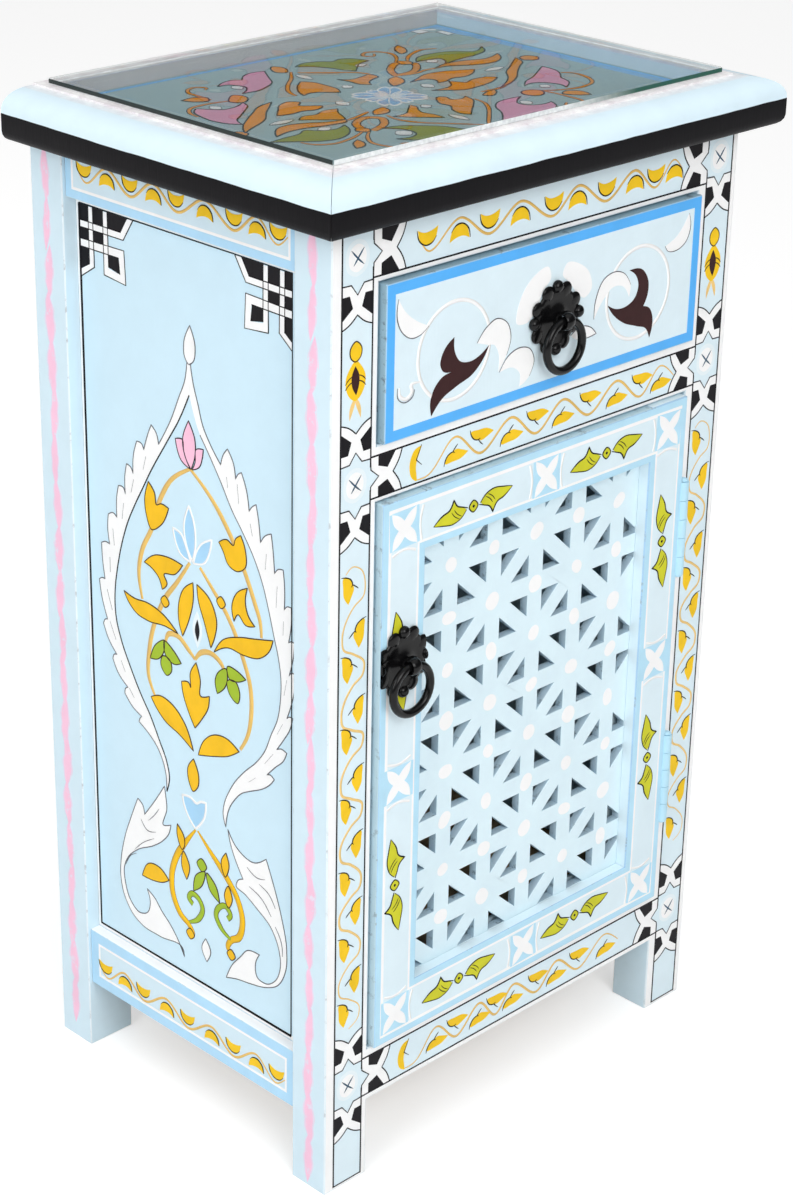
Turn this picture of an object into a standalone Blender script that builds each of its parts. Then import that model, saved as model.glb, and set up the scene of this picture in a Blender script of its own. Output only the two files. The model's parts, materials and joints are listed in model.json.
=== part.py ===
"""Painted nightstand: a post-and-rail case with one drawer over one fretwork door, under a tray top with a pane.

Units are metres. +Z is up, the front faces -Y, and the origin is on the floor under the middle of the outline.
"""

import math

import bmesh
import bpy
from mathutils import Matrix, Vector

# Clearances
JOINT_GAP = 0.0003
RUNNING_GAP = 0.0004

# Case
CASE_WIDTH = 0.372
CASE_DEPTH = 0.281
CASE_HEIGHT = 0.678
POST_WIDTH = 0.0385
POST_DEPTH = 0.032
TENON_LENGTH = 0.012
TENON_THICKNESS = 0.008
TENON_SHOULDER = 0.009

# Front rails, from the floor up
FRONT_RAIL_THICKNESS = 0.020
BOTTOM_RAIL_RISE = 0.060
BOTTOM_RAIL_HEIGHT = 0.041
MIDDLE_RAIL_HEIGHT = 0.037
DRAWER_OPENING_HEIGHT = 0.103
TOP_RAIL_HEIGHT = 0.042

# Side and back rails, with the panels in their grooves
SIDE_RAIL_THICKNESS = 0.020
SIDE_RAIL_SETBACK = 0.003
SIDE_BOTTOM_RAIL_RISE = 0.053
SIDE_BOTTOM_RAIL_HEIGHT = 0.045
SIDE_TOP_RAIL_HEIGHT = 0.037
SIDE_PANEL_THICKNESS = 0.008
SIDE_PANEL_SETBACK = 0.011
BACK_RAIL_THICKNESS = 0.020
BACK_PANEL_THICKNESS = 0.006
BACK_PANEL_SETBACK = 0.008
PANEL_TONGUE = 0.005

# Cupboard floor
FLOOR_THICKNESS = 0.012
CLEAT_WIDTH = 0.015
CLEAT_HEIGHT = 0.015

# Tray top
OVERHANG = 0.0215
MOULDING_HEIGHT = 0.03
MOULDING_BAND = 0.014
MOULDING_BAND_ROUND = 0.007
MOULDING_DRIP = 0.0035
MOULDING_FULLNESS = 0.8
MOULDING_QUIRK = 0.0012
MOULDING_ARC_STEPS = 8
RIM_INSET = 0.014
RIM_FLAT = 0.0094
TOP_BOARD_THICKNESS = 0.0202
GLASS_THICKNESS = 0.004
GLASS_LAP = 0.0045
GLASS_ARRIS = 0.0006

# Drawer and door in their openings
FRONT_PROUD = 0.005
SIDE_REVEAL = 0.0015
HINGE_REVEAL = 0.003
TOP_REVEAL = 0.001

# Drawer box
DRAWER_FRONT_THICKNESS = 0.018
DRAWER_SIDE_THICKNESS = 0.010
DRAWER_SIDE_DROP = 0.014
DRAWER_SIDE_DADO = 0.008
DRAWER_BOTTOM_THICKNESS = 0.005
DRAWER_BOTTOM_RISE = 0.006
DRAWER_GROOVE = 0.005
DRAWER_BACK_THICKNESS = 0.010
DRAWER_BACK_DADO = 0.004
DRAWER_BACK_INSET = 0.006
DRAWER_BACK_DROP = 0.005
DRAWER_STOP_GAP = 0.001
RUNNER_HEIGHT = 0.018
RUNNER_LIP = 0.002

# Door frame and fretwork
DOOR_THICKNESS = 0.022
DOOR_STILE_WIDTH = 0.038
DOOR_RAIL_HEIGHT = 0.039
LATTICE_SETBACK = 0.009
LATTICE_THICKNESS = 0.010
LATTICE_TONGUE = 0.005
LATTICE_PITCH_X = 0.0408
LATTICE_PITCH_Z = 0.0372
LATTICE_SHIFT_X = 0.0066
LATTICE_SHIFT_Z = -0.0155
LATTICE_BAR = 0.014
LATTICE_DIAGONAL = 0.0125
LATTICE_LEAST_HOLE = 0.000012

# Catch
CATCH_LENGTH = 0.040
CATCH_HEIGHT = 0.011
CATCH_FROM_POST = 0.024
CATCH_GAP = 0.0005
STRIKE_THICKNESS = 0.0012
STRIKE_HEIGHT = 0.013
STRIKE_DROP = 0.0008

# Hinges
HINGE_HEIGHT = 0.070
HINGE_FROM_DOOR_TOP = 0.098
HINGE_FROM_DOOR_BOTTOM = 0.099
KNUCKLES = 5
KNUCKLE_GAP = 0.0004
BARREL_DIAMETER = 0.0077
PIN_DIAMETER = 0.004
PIN_HEAD_DIAMETER = 0.0062
PIN_HEAD_HEIGHT = 0.0018
LEAF_GAP = 0.0005
LEAF_DEPTH = 0.018
SCREW_LENGTH = 0.013
SCREW_SHANK_DIAMETER = 0.0026
SCREW_HEAD_DIAMETER = 0.0050
SCREW_SPACING = 0.044
SCREW_FROM_LEAF_EDGE = 0.007

# Pulls
PLATE_RADIUS = 0.0205
PLATE_LOBES = 12
PLATE_LOBE_DEPTH = 0.0017
PLATE_THICKNESS = 0.002
PLATE_DOME = 0.0006
PLATE_POINTS_PER_LOBE = 6
BEAD_RADIUS = 0.0038
BEAD_CIRCLE = 0.0212
RING_RADIUS = 0.0165
RING_WIRE = 0.006
EYE_WIRE = 0.0028
EYE_CLEARANCE = 0.0004
SHANK_DIAMETER = 0.0036
SHANK_DEPTH = 0.010
DOOR_PULL_ABOVE_MIDDLE = 0.0855
DRAWER_PULL_ASIDE = 0.004
DRAWER_PULL_DROP = 0.0025

# Facets
ROUND_SIDES = 20
SCREW_SIDES = 12
RING_STEPS = 28
WIRE_SIDES = 10
CUT_OVERRUN = 0.002

# Places worked out from the sizes above
X_OUT = CASE_WIDTH / 2
X_OPENING = X_OUT - POST_WIDTH
Y_FRONT = OVERHANG - (CASE_DEPTH + OVERHANG) / 2
Y_BACK = Y_FRONT + CASE_DEPTH
Y_FRONT_POST_IN = Y_FRONT + POST_DEPTH
Y_BACK_POST_IN = Y_BACK - POST_DEPTH
Z_DOOR_OPENING = BOTTOM_RAIL_RISE + BOTTOM_RAIL_HEIGHT
Z_DRAWER_OPENING_TOP = CASE_HEIGHT - TOP_RAIL_HEIGHT
Z_DRAWER_OPENING = Z_DRAWER_OPENING_TOP - DRAWER_OPENING_HEIGHT
Z_DOOR_OPENING_TOP = Z_DRAWER_OPENING - MIDDLE_RAIL_HEIGHT
Z_SIDE_PANEL = SIDE_BOTTOM_RAIL_RISE + SIDE_BOTTOM_RAIL_HEIGHT
Z_SIDE_PANEL_TOP = CASE_HEIGHT - SIDE_TOP_RAIL_HEIGHT
X_SIDE_RAIL_IN = X_OUT - SIDE_RAIL_SETBACK - SIDE_RAIL_THICKNESS
X_SIDE_PANEL_IN = X_OUT - SIDE_PANEL_SETBACK - SIDE_PANEL_THICKNESS
Y_BACK_PANEL_IN = Y_BACK - BACK_PANEL_SETBACK - BACK_PANEL_THICKNESS
X_FACE = X_OPENING - SIDE_REVEAL
X_DOOR_HUNG = X_OPENING - HINGE_REVEAL
Y_FACE = Y_FRONT - FRONT_PROUD
Z_DOOR = Z_DOOR_OPENING + TOP_REVEAL
Z_DOOR_TOP = Z_DOOR_OPENING_TOP - TOP_REVEAL
Z_DOOR_MIDDLE = (Z_DOOR + Z_DOOR_TOP) / 2
Z_DRAWER = Z_DRAWER_OPENING + TOP_REVEAL
Z_DRAWER_TOP = Z_DRAWER_OPENING_TOP - TOP_REVEAL
Y_DOOR_BACK = Y_FACE + DOOR_THICKNESS
X_LATTICE = X_FACE - DOOR_STILE_WIDTH
Z_LATTICE = Z_DOOR + DOOR_RAIL_HEIGHT
Z_LATTICE_TOP = Z_DOOR_TOP - DOOR_RAIL_HEIGHT
HINGE_X = X_OPENING - JOINT_GAP
HINGE_Y = Y_FRONT - JOINT_GAP - BARREL_DIAMETER / 2
LEAF_THICKNESS = (HINGE_REVEAL - 2 * JOINT_GAP - LEAF_GAP) / 2
EYE_RADIUS = RING_WIRE / 2 + EYE_CLEARANCE + EYE_WIRE / 2
Y_PLATE_FRONT = Y_FACE - JOINT_GAP - PLATE_THICKNESS
Y_EYE = Y_PLATE_FRONT - PLATE_DOME - JOINT_GAP - EYE_WIRE / 2 - EYE_RADIUS
DRAWER_PULL = Vector((DRAWER_PULL_ASIDE, Y_FACE, (Z_DRAWER + Z_DRAWER_TOP) / 2 - DRAWER_PULL_DROP))
DOOR_PULL = Vector((DOOR_STILE_WIDTH / 2 - X_FACE, Y_FACE, Z_DOOR_MIDDLE + DOOR_PULL_ABOVE_MIDDLE))

# Finishes: colour, roughness, metallic
FINISHES = {
    "pale_blue_paint": ((0.67, 0.84, 0.93), 0.55, 0.0),
    "light_blue_paint": ((0.43, 0.73, 1.0), 0.5, 0.0),
    "moulding_paint": ((0.66, 0.85, 0.95), 0.45, 0.0),
    "bare_wood": ((0.45, 0.30, 0.17), 0.7, 0.0),
    "black_iron": ((0.02, 0.02, 0.022), 0.35, 0.9),
    "zinc_steel": ((0.55, 0.55, 0.56), 0.35, 1.0),
    "catch_plastic": ((0.08, 0.06, 0.05), 0.5, 0.0),
    "green_glass": ((0.62, 0.78, 0.72), 0.05, 0.0),
}


def clear_scene():
    """Start from an empty scene."""
    for item in list(bpy.data.objects):
        bpy.data.objects.remove(item, do_unlink=True)


def finish(name):
    """The Principled material of one finish, made once."""
    found = bpy.data.materials.get(name)
    if found:
        return found
    colour, roughness, metallic = FINISHES[name]
    made = bpy.data.materials.new(name)
    made.use_nodes = True
    shader = made.node_tree.nodes["Principled BSDF"]
    shader.inputs["Base Color"].default_value = (*colour, 1.0)
    shader.inputs["Roughness"].default_value = roughness
    shader.inputs["Metallic"].default_value = metallic
    made.diffuse_color = (*colour, 1.0)
    return made


def put(name, shape, finish_name=None):
    """Turn a bmesh into a linked object and free the bmesh."""
    bmesh.ops.recalc_face_normals(shape, faces=shape.faces)
    mesh = bpy.data.meshes.new(name)
    shape.to_mesh(mesh)
    shape.free()
    made = bpy.data.objects.new(name, mesh)
    bpy.context.scene.collection.objects.link(made)
    if finish_name:
        mesh.materials.append(finish(finish_name))
    return made


def axis_point(name, place, parent=None):
    """An empty on a joint's axis, which carries the pieces that move about it."""
    made = bpy.data.objects.new(name, None)
    bpy.context.scene.collection.objects.link(made)
    made.location = place
    if parent:
        carry(parent, [made])
    return made


def carry(axis, pieces):
    """Parent pieces to an axis empty and leave them where they are."""
    bpy.context.view_layer.update()
    for piece in pieces:
        piece.parent = axis
        piece.matrix_parent_inverse = axis.matrix_world.inverted()


def block(low, high):
    """A box between two corners."""
    shape = bmesh.new()
    size = Vector(high) - Vector(low)
    middle = (Vector(high) + Vector(low)) / 2
    bmesh.ops.create_cube(shape, size=1.0, matrix=Matrix.Translation(middle) @ Matrix.Diagonal((*size, 1.0)))
    return shape


def board(name, low, high, finish_name="pale_blue_paint"):
    """A plain board between two corners."""
    return put(name, block(low, high), finish_name)


def prism(outline, low, high, place=lambda u, v, w: (u, v, w)):
    """Extrude a closed outline of (u, v) points between two levels of w; place turns (u, v, w) into x, y, z."""
    shape = bmesh.new()
    ends = [[shape.verts.new(place(u, v, w)) for u, v in outline] for w in (low, high)]
    shape.faces.new(ends[0])
    shape.faces.new(ends[1])
    bridge(shape, ends[0], ends[1])
    return shape


def bridge(shape, first, second):
    """Join two closed loops of the same count with quads."""
    count = len(first)
    for i in range(count):
        j = (i + 1) % count
        shape.faces.new((first[i], first[j], second[j], second[i]))


def turned(profile, sides, place):
    """Turn (radius, height) points about the local Z axis, with flat ends, and put it at a matrix."""
    shape = bmesh.new()
    loops = []
    for radius, height in profile:
        turns = [2 * math.pi * k / sides for k in range(sides)]
        loops.append([shape.verts.new(place @ Vector((radius * math.cos(a), radius * math.sin(a), height)))
                      for a in turns])
    for lower, upper in zip(loops, loops[1:]):
        bridge(shape, lower, upper)
    shape.faces.new(loops[0])
    shape.faces.new(loops[-1])
    return shape


def hoop(radius, wire_radius, steps, place):
    """A closed ring of round wire about the local Z axis."""
    shape = bmesh.new()
    loops = []
    for i in range(steps):
        a = 2 * math.pi * i / steps
        loop = []
        for k in range(WIRE_SIDES):
            b = 2 * math.pi * k / WIRE_SIDES
            reach = radius + wire_radius * math.cos(b)
            point = Vector((reach * math.cos(a), reach * math.sin(a), wire_radius * math.sin(b)))
            loop.append(shape.verts.new(place @ point))
        loops.append(loop)
    for i in range(steps):
        bridge(shape, loops[i], loops[(i + 1) % steps])
    return shape


def combine(piece, tool_shape, operation):
    """Apply one Boolean with a tool shape, which is then thrown away."""
    tool = put("tool", tool_shape)
    step = piece.modifiers.new(operation.lower(), "BOOLEAN")
    step.operation = operation
    step.object = tool
    graph = bpy.context.evaluated_depsgraph_get()
    result = bpy.data.meshes.new_from_object(piece.evaluated_get(graph))
    old = piece.data
    piece.modifiers.clear()
    piece.data = result
    result.name = piece.name
    bpy.data.meshes.remove(old)
    tool_mesh = tool.data
    bpy.data.objects.remove(tool)
    bpy.data.meshes.remove(tool_mesh)


def grown(corners, clearance=JOINT_GAP):
    """A box with a clearance all round, to cut the seat of what fits in it."""
    low, high = corners
    ease = Vector((clearance,) * 3)
    return Vector(low) - ease, Vector(high) + ease


def seat(piece, *boxes):
    """Cut the seats of neighbouring boxes out of a piece, with the joint gap."""
    for corners in boxes:
        combine(piece, block(*grown(corners)), "DIFFERENCE")


def smooth(piece, angle=40):
    """Shade a round piece smooth, with its real edges kept sharp."""
    piece.data.shade_smooth()
    piece.data.set_sharp_from_angle(angle=math.radians(angle))


def tenon(corners, along, end):
    """The tenon at a rail's low (-1) or high (+1) end; along is 0 for a rail along X and 1 for one along Y."""
    low, high = (Vector(c) for c in corners)
    across = 1 - along
    middle = (low[across] + high[across]) / 2
    start, stop = low.copy(), high.copy()
    start[across] = middle - TENON_THICKNESS / 2
    stop[across] = middle + TENON_THICKNESS / 2
    start.z += TENON_SHOULDER
    stop.z -= TENON_SHOULDER
    if end < 0:
        stop[along] = low[along]
        start[along] = low[along] - TENON_LENGTH
    else:
        start[along] = high[along]
        stop[along] = high[along] + TENON_LENGTH
    return start, stop


def rail(name, corners, along, finish_name="pale_blue_paint"):
    """A rail with a tenon on each end."""
    made = board(name, *corners, finish_name)
    for end in (-1, 1):
        start, stop = tenon(corners, along, end)
        if end < 0:
            stop[along] += CUT_OVERRUN
        else:
            start[along] -= CUT_OVERRUN
        combine(made, block(start, stop), "UNION")
    return made


def mirrored(corners):
    """The same box on the other side of X = 0."""
    low, high = corners
    return Vector((-high[0], low[1], low[2])), Vector((-low[0], high[1], high[2]))


def front_rail_corners():
    """The three front rails between the posts."""
    reach = X_OPENING - JOINT_GAP
    levels = {
        "top": (Z_DRAWER_OPENING_TOP, CASE_HEIGHT, FRONT_RAIL_THICKNESS),
        "middle": (Z_DOOR_OPENING_TOP, Z_DRAWER_OPENING, POST_DEPTH),
        "bottom": (BOTTOM_RAIL_RISE, Z_DOOR_OPENING, FRONT_RAIL_THICKNESS),
    }
    return {name: (Vector((-reach, Y_FRONT, low)), Vector((reach, Y_FRONT + thickness, high)))
            for name, (low, high, thickness) in levels.items()}


def side_rail_corners():
    """The right-hand side rails between the posts."""
    x_out = X_OUT - SIDE_RAIL_SETBACK
    start, stop = Y_FRONT_POST_IN + JOINT_GAP, Y_BACK_POST_IN - JOINT_GAP
    levels = {"top": (Z_SIDE_PANEL_TOP, CASE_HEIGHT), "bottom": (SIDE_BOTTOM_RAIL_RISE, Z_SIDE_PANEL)}
    return {name: (Vector((X_SIDE_RAIL_IN, start, low)), Vector((x_out, stop, high)))
            for name, (low, high) in levels.items()}


def back_rail_corners():
    """The back rails between the posts, level with the side rails."""
    reach = X_OPENING - JOINT_GAP
    levels = {"top": (Z_SIDE_PANEL_TOP, CASE_HEIGHT), "bottom": (SIDE_BOTTOM_RAIL_RISE, Z_SIDE_PANEL)}
    return {name: (Vector((-reach, Y_BACK - BACK_RAIL_THICKNESS, low)), Vector((reach, Y_BACK, high)))
            for name, (low, high) in levels.items()}


def side_panel_corners():
    """The right-hand side panel with the tongues that enter its grooves."""
    low = Vector((X_SIDE_PANEL_IN, Y_FRONT_POST_IN - PANEL_TONGUE, Z_SIDE_PANEL - PANEL_TONGUE))
    high = Vector((X_SIDE_PANEL_IN + SIDE_PANEL_THICKNESS, Y_BACK_POST_IN + PANEL_TONGUE,
                   Z_SIDE_PANEL_TOP + PANEL_TONGUE))
    return low, high


def back_panel_corners():
    """The back panel with the tongues that enter its grooves."""
    reach = X_OPENING + PANEL_TONGUE
    low = Vector((-reach, Y_BACK_PANEL_IN, Z_SIDE_PANEL - PANEL_TONGUE))
    high = Vector((reach, Y_BACK_PANEL_IN + BACK_PANEL_THICKNESS, Z_SIDE_PANEL_TOP + PANEL_TONGUE))
    return low, high


def make_rails_and_panels():
    """Rails and panels of the case, each rail grooved for its panel."""
    for level, corners in front_rail_corners().items():
        rail(f"rail_front_{level}", corners, 0)
    right_panel = side_panel_corners()
    for side, turn in (("right", lambda c: c), ("left", mirrored)):
        panel = turn(right_panel)
        board(f"panel_{side}", *panel)
        for level, corners in side_rail_corners().items():
            seat(rail(f"rail_{side}_{level}", turn(corners), 1), panel)
    back_panel = back_panel_corners()
    board("panel_back", *back_panel)
    for level, corners in back_rail_corners().items():
        seat(rail(f"rail_back_{level}", corners, 0), back_panel)


def make_posts():
    """Four posts, with a mortise for each tenon and a groove for each panel that meets them."""
    for side, sign in (("left", -1), ("right", 1)):
        turn = mirrored if sign < 0 else (lambda c: c)
        side_rails = [turn(corners) for corners in side_rail_corners().values()]
        x_low, x_high = sorted((sign * X_OUT, sign * X_OPENING))
        for row, y_low, y_high, cross_rails in (
            ("front", Y_FRONT, Y_FRONT_POST_IN, front_rail_corners()),
            ("back", Y_BACK_POST_IN, Y_BACK, back_rail_corners()),
        ):
            post = board(f"post_{row}_{side}", (x_low, y_low, 0.0), (x_high, y_high, CASE_HEIGHT))
            seat(post, *(tenon(corners, 0, sign) for corners in cross_rails.values()))
            seat(post, *(tenon(corners, 1, -1 if row == "front" else 1) for corners in side_rails))
            seat(post, turn(side_panel_corners()))
            if row == "back":
                seat(post, back_panel_corners())


def make_floor():
    """The cupboard's floor, notched round the posts, on two cleats along the side rails."""
    x_post, x_rail = X_OPENING - JOINT_GAP, X_SIDE_RAIL_IN - JOINT_GAP
    y_rows = (Y_FRONT + FRONT_RAIL_THICKNESS + JOINT_GAP, Y_FRONT_POST_IN + JOINT_GAP,
              Y_BACK_POST_IN - JOINT_GAP, Y_BACK - BACK_RAIL_THICKNESS - JOINT_GAP)
    right = [(x_post, y_rows[0]), (x_post, y_rows[1]), (x_rail, y_rows[1]), (x_rail, y_rows[2]),
             (x_post, y_rows[2]), (x_post, y_rows[3])]
    outline = right + [(-x, y) for x, y in reversed(right)]
    z_under = Z_DOOR_OPENING - FLOOR_THICKNESS
    put("floor_board", prism(outline, z_under, Z_DOOR_OPENING), "bare_wood")
    cleat = (Vector((x_rail - CLEAT_WIDTH, y_rows[1], z_under - JOINT_GAP - CLEAT_HEIGHT)),
             Vector((x_rail, y_rows[2], z_under - JOINT_GAP)))
    board("floor_cleat_right", *cleat, "bare_wood")
    board("floor_cleat_left", *mirrored(cleat), "bare_wood")


def make_runners():
    """Runners between the posts, against the side panels, just under the drawer's sides."""
    z_top = Z_DRAWER - RUNNING_GAP
    x_in = X_FACE - JOINT_GAP - DRAWER_SIDE_THICKNESS - RUNNER_LIP
    runner = (Vector((x_in, Y_FRONT_POST_IN + JOINT_GAP, z_top - RUNNER_HEIGHT)),
              Vector((X_SIDE_PANEL_IN - JOINT_GAP, Y_BACK_POST_IN - JOINT_GAP, z_top)))
    board("drawer_runner_right", *runner, "bare_wood")
    board("drawer_runner_left", *mirrored(runner), "bare_wood")


def moulding_profile():
    """Section of the top moulding: u runs outwards from its inner wall, v up from its base.

    Outside the case the band hangs a little below the base, and the round above it is fuller than an ellipse.
    """
    outer = RIM_INSET + OVERHANG
    rise = MOULDING_HEIGHT - MOULDING_BAND - MOULDING_QUIRK
    points = [(0.0, 0.0), (RIM_INSET + JOINT_GAP, 0.0)]
    for k in range(MOULDING_ARC_STEPS // 2 + 1):
        a = math.pi * k / MOULDING_ARC_STEPS
        points.append((outer - MOULDING_BAND_ROUND * (1 - math.sin(a)),
                       MOULDING_BAND_ROUND * (1 - math.cos(a)) - MOULDING_DRIP))
    for k in range(MOULDING_ARC_STEPS):
        a = math.pi / 2 * k / MOULDING_ARC_STEPS
        points.append((RIM_FLAT + (outer - RIM_FLAT) * math.cos(a) ** MOULDING_FULLNESS,
                       MOULDING_BAND + rise * math.sin(a) ** MOULDING_FULLNESS))
    points += [(RIM_FLAT, MOULDING_BAND + rise), (RIM_FLAT, MOULDING_HEIGHT), (0.0, MOULDING_HEIGHT)]
    return points


def make_top():
    """Top board, mitred mouldings on three sides, a plain strip at the back, and the pane on the rim."""
    z_base = CASE_HEIGHT + JOINT_GAP
    z_rim = z_base + MOULDING_HEIGHT
    x_wall = X_OUT - RIM_INSET
    y_wall = Y_FRONT + RIM_INSET
    y_back_wall = Y_BACK - RIM_INSET
    ease = JOINT_GAP / math.sqrt(2)
    board("top_board", (JOINT_GAP - x_wall, y_wall + JOINT_GAP, z_base),
          (x_wall - JOINT_GAP, y_back_wall - JOINT_GAP, z_base + TOP_BOARD_THICKNESS))
    board("moulding_back", (JOINT_GAP - x_wall, y_back_wall, z_base), (x_wall - JOINT_GAP, Y_BACK, z_rim))
    profile = moulding_profile()
    shape = prism(profile, -1, 1, lambda u, v, w: (w * (x_wall + u - ease), y_wall - u, z_base + v))
    smooth(put("moulding_front", shape, "moulding_paint"), 25)
    for side, sign in (("left", -1), ("right", 1)):
        def place(u, v, w, sign=sign):
            """The front end follows the mitre, and the back end is square."""
            return sign * (x_wall + u), y_wall - u + ease if w < 0 else Y_BACK, z_base + v
        smooth(put(f"moulding_{side}", prism(profile, -1, 1, place), "moulding_paint"), 25)
    low = Vector((-x_wall - GLASS_LAP, y_wall - GLASS_LAP, z_rim + JOINT_GAP))
    high = Vector((x_wall + GLASS_LAP, y_back_wall + GLASS_LAP, z_rim + JOINT_GAP + GLASS_THICKNESS))
    pane = block(low, high)
    bmesh.ops.bevel(pane, geom=pane.edges, offset=GLASS_ARRIS, segments=1, affect="EDGES")
    put("glass_top", pane, "green_glass")


def drawer_corners():
    """The drawer's boards as boxes, tongues included."""
    y_back_of_front = Y_FACE + DRAWER_FRONT_THICKNESS
    y_end = Y_BACK_PANEL_IN - DRAWER_STOP_GAP
    x_out = X_FACE - JOINT_GAP
    x_in = x_out - DRAWER_SIDE_THICKNESS
    z_side_top = Z_DRAWER_TOP - DRAWER_SIDE_DROP
    z_bottom = Z_DRAWER + DRAWER_BOTTOM_RISE
    y_back_end = y_end - DRAWER_BACK_INSET
    x_bottom = x_in + DRAWER_GROOVE
    side = (Vector((x_in, y_back_of_front - DRAWER_SIDE_DADO, Z_DRAWER)), Vector((x_out, y_end, z_side_top)))
    return {
        "front": (Vector((-X_FACE, Y_FACE, Z_DRAWER)), Vector((X_FACE, y_back_of_front, Z_DRAWER_TOP))),
        "side_right": side,
        "side_left": mirrored(side),
        "bottom": (Vector((-x_bottom, y_back_of_front - DRAWER_GROOVE, z_bottom)),
                   Vector((x_bottom, y_back_end, z_bottom + DRAWER_BOTTOM_THICKNESS))),
        "back": (Vector((-x_in - DRAWER_BACK_DADO, y_back_end - DRAWER_BACK_THICKNESS,
                         z_bottom + DRAWER_BOTTOM_THICKNESS + JOINT_GAP)),
                 Vector((x_in + DRAWER_BACK_DADO, y_back_end, z_side_top - DRAWER_BACK_DROP))),
    }


def make_drawer():
    """Drawer box: sides dadoed into the front, bottom in grooves, back dadoed into the sides."""
    corners = drawer_corners()
    front = board("drawer_front", *corners["front"])
    seat(front, corners["side_left"], corners["side_right"], corners["bottom"])
    bore_for_shank(front, DRAWER_PULL)
    pieces = [front]
    for side in ("side_left", "side_right"):
        made = board(f"drawer_{side}", *corners[side], "bare_wood")
        seat(made, corners["bottom"], corners["back"])
        pieces.append(made)
    for name in ("bottom", "back"):
        pieces.append(board(f"drawer_{name}", *corners[name], "bare_wood"))
    return pieces


def lattice_corners():
    """The fretwork panel with the tongues that enter the door frame."""
    low = Vector((-X_LATTICE - LATTICE_TONGUE, Y_FACE + LATTICE_SETBACK, Z_LATTICE - LATTICE_TONGUE))
    high = Vector((X_LATTICE + LATTICE_TONGUE, Y_FACE + LATTICE_SETBACK + LATTICE_THICKNESS,
                   Z_LATTICE_TOP + LATTICE_TONGUE))
    return low, high


def inset_triangle(corners, insets):
    """Move each side of a counter-clockwise triangle inwards; insets[i] belongs to the side from corner i on."""
    lines = []
    for i in range(3):
        start, stop = corners[i], corners[(i + 1) % 3]
        along = (stop - start).normalized()
        inward = Vector((-along.y, along.x))
        lines.append((start + inward * insets[i], along))
    moved = []
    for i in range(3):
        (p, d), (q, e) = lines[i - 1], lines[i]
        turn = d.x * e.y - d.y * e.x
        step = ((q.x - p.x) * e.y - (q.y - p.y) * e.x) / turn
        moved.append(p + d * step)
    return moved


def clipped(outline, low, high):
    """Cut a convex outline to an upright rectangle."""
    for axis in (0, 1):
        for limit, sign in ((low[axis], 1), (high[axis], -1)):
            kept = []
            for i, point in enumerate(outline):
                before = outline[i - 1]
                inside = sign * (point[axis] - limit) >= 0
                if inside != (sign * (before[axis] - limit) >= 0):
                    kept.append(before.lerp(point, (limit - before[axis]) / (point[axis] - before[axis])))
                if inside:
                    kept.append(point)
            outline = kept
    return outline


def signed_area(outline):
    """Area of an outline, positive when it runs counter-clockwise."""
    return sum(a.x * b.y - a.y * b.x for a, b in zip(outline, outline[1:] + outline[:1])) / 2


def lattice_holes():
    """Three-cornered holes of the fretwork: each grid cell is split by one diagonal, turned in every next cell."""
    low, high = Vector((-X_LATTICE, Z_LATTICE)), Vector((X_LATTICE, Z_LATTICE_TOP))
    start = Vector((LATTICE_SHIFT_X, Z_DOOR_MIDDLE + LATTICE_SHIFT_Z))
    columns = range(math.floor((low.x - start.x) / LATTICE_PITCH_X), math.ceil((high.x - start.x) / LATTICE_PITCH_X))
    rows = range(math.floor((low.y - start.y) / LATTICE_PITCH_Z), math.ceil((high.y - start.y) / LATTICE_PITCH_Z))
    holes = []
    for i in columns:
        for j in rows:
            a, b, c, d = (start + Vector(((i + m) * LATTICE_PITCH_X, (j + n) * LATTICE_PITCH_Z))
                          for m, n in ((0, 0), (1, 0), (1, 1), (0, 1)))
            halves = ((a, b, c), (c, d, a)) if (i + j) % 2 == 0 else ((b, c, d), (d, a, b))
            for half in halves:
                insets = (LATTICE_BAR / 2, LATTICE_BAR / 2, LATTICE_DIAGONAL / 2)
                hole = inset_triangle(half, insets)
                if signed_area(hole) < LATTICE_LEAST_HOLE:
                    continue
                hole = clipped(hole, low, high)
                if len(hole) > 2 and signed_area(hole) > LATTICE_LEAST_HOLE:
                    holes.append(hole)
    return holes


def make_lattice():
    """One board with every hole of the fretwork cut through it."""
    corners = lattice_corners()
    panel = board("door_lattice", *corners)
    tool = bmesh.new()
    y_start, y_stop = corners[0].y - CUT_OVERRUN, corners[1].y + CUT_OVERRUN
    for hole in lattice_holes():
        front = [tool.verts.new((p.x, y_start, p.y)) for p in hole]
        back = [tool.verts.new((p.x, y_stop, p.y)) for p in hole]
        tool.faces.new(front)
        tool.faces.new(back)
        bridge(tool, front, back)
    combine(panel, tool, "DIFFERENCE")
    return panel


def make_door():
    """Door frame: rails tenoned between stiles, with the fretwork in a groove."""
    reach = X_LATTICE - JOINT_GAP
    rails = {
        "bottom": (Vector((-reach, Y_FACE, Z_DOOR)), Vector((reach, Y_DOOR_BACK, Z_LATTICE))),
        "top": (Vector((-reach, Y_FACE, Z_LATTICE_TOP)), Vector((reach, Y_DOOR_BACK, Z_DOOR_TOP))),
    }
    lattice = lattice_corners()
    pieces = [make_lattice()]
    for level, corners in rails.items():
        made = rail(f"door_rail_{level}", corners, 0)
        seat(made, lattice)
        pieces.append(made)
    for side, sign, edge in (("left", -1, -X_FACE), ("right", 1, X_DOOR_HUNG)):
        x_low, x_high = sorted((sign * X_LATTICE, edge))
        stile = board(f"door_stile_{side}", (x_low, Y_FACE, Z_DOOR), (x_high, Y_DOOR_BACK, Z_DOOR_TOP))
        seat(stile, *(tenon(corners, 0, sign) for corners in rails.values()), lattice)
        pieces.append(stile)
        if side == "left":
            bore_for_shank(stile, DOOR_PULL)
    return pieces


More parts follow.
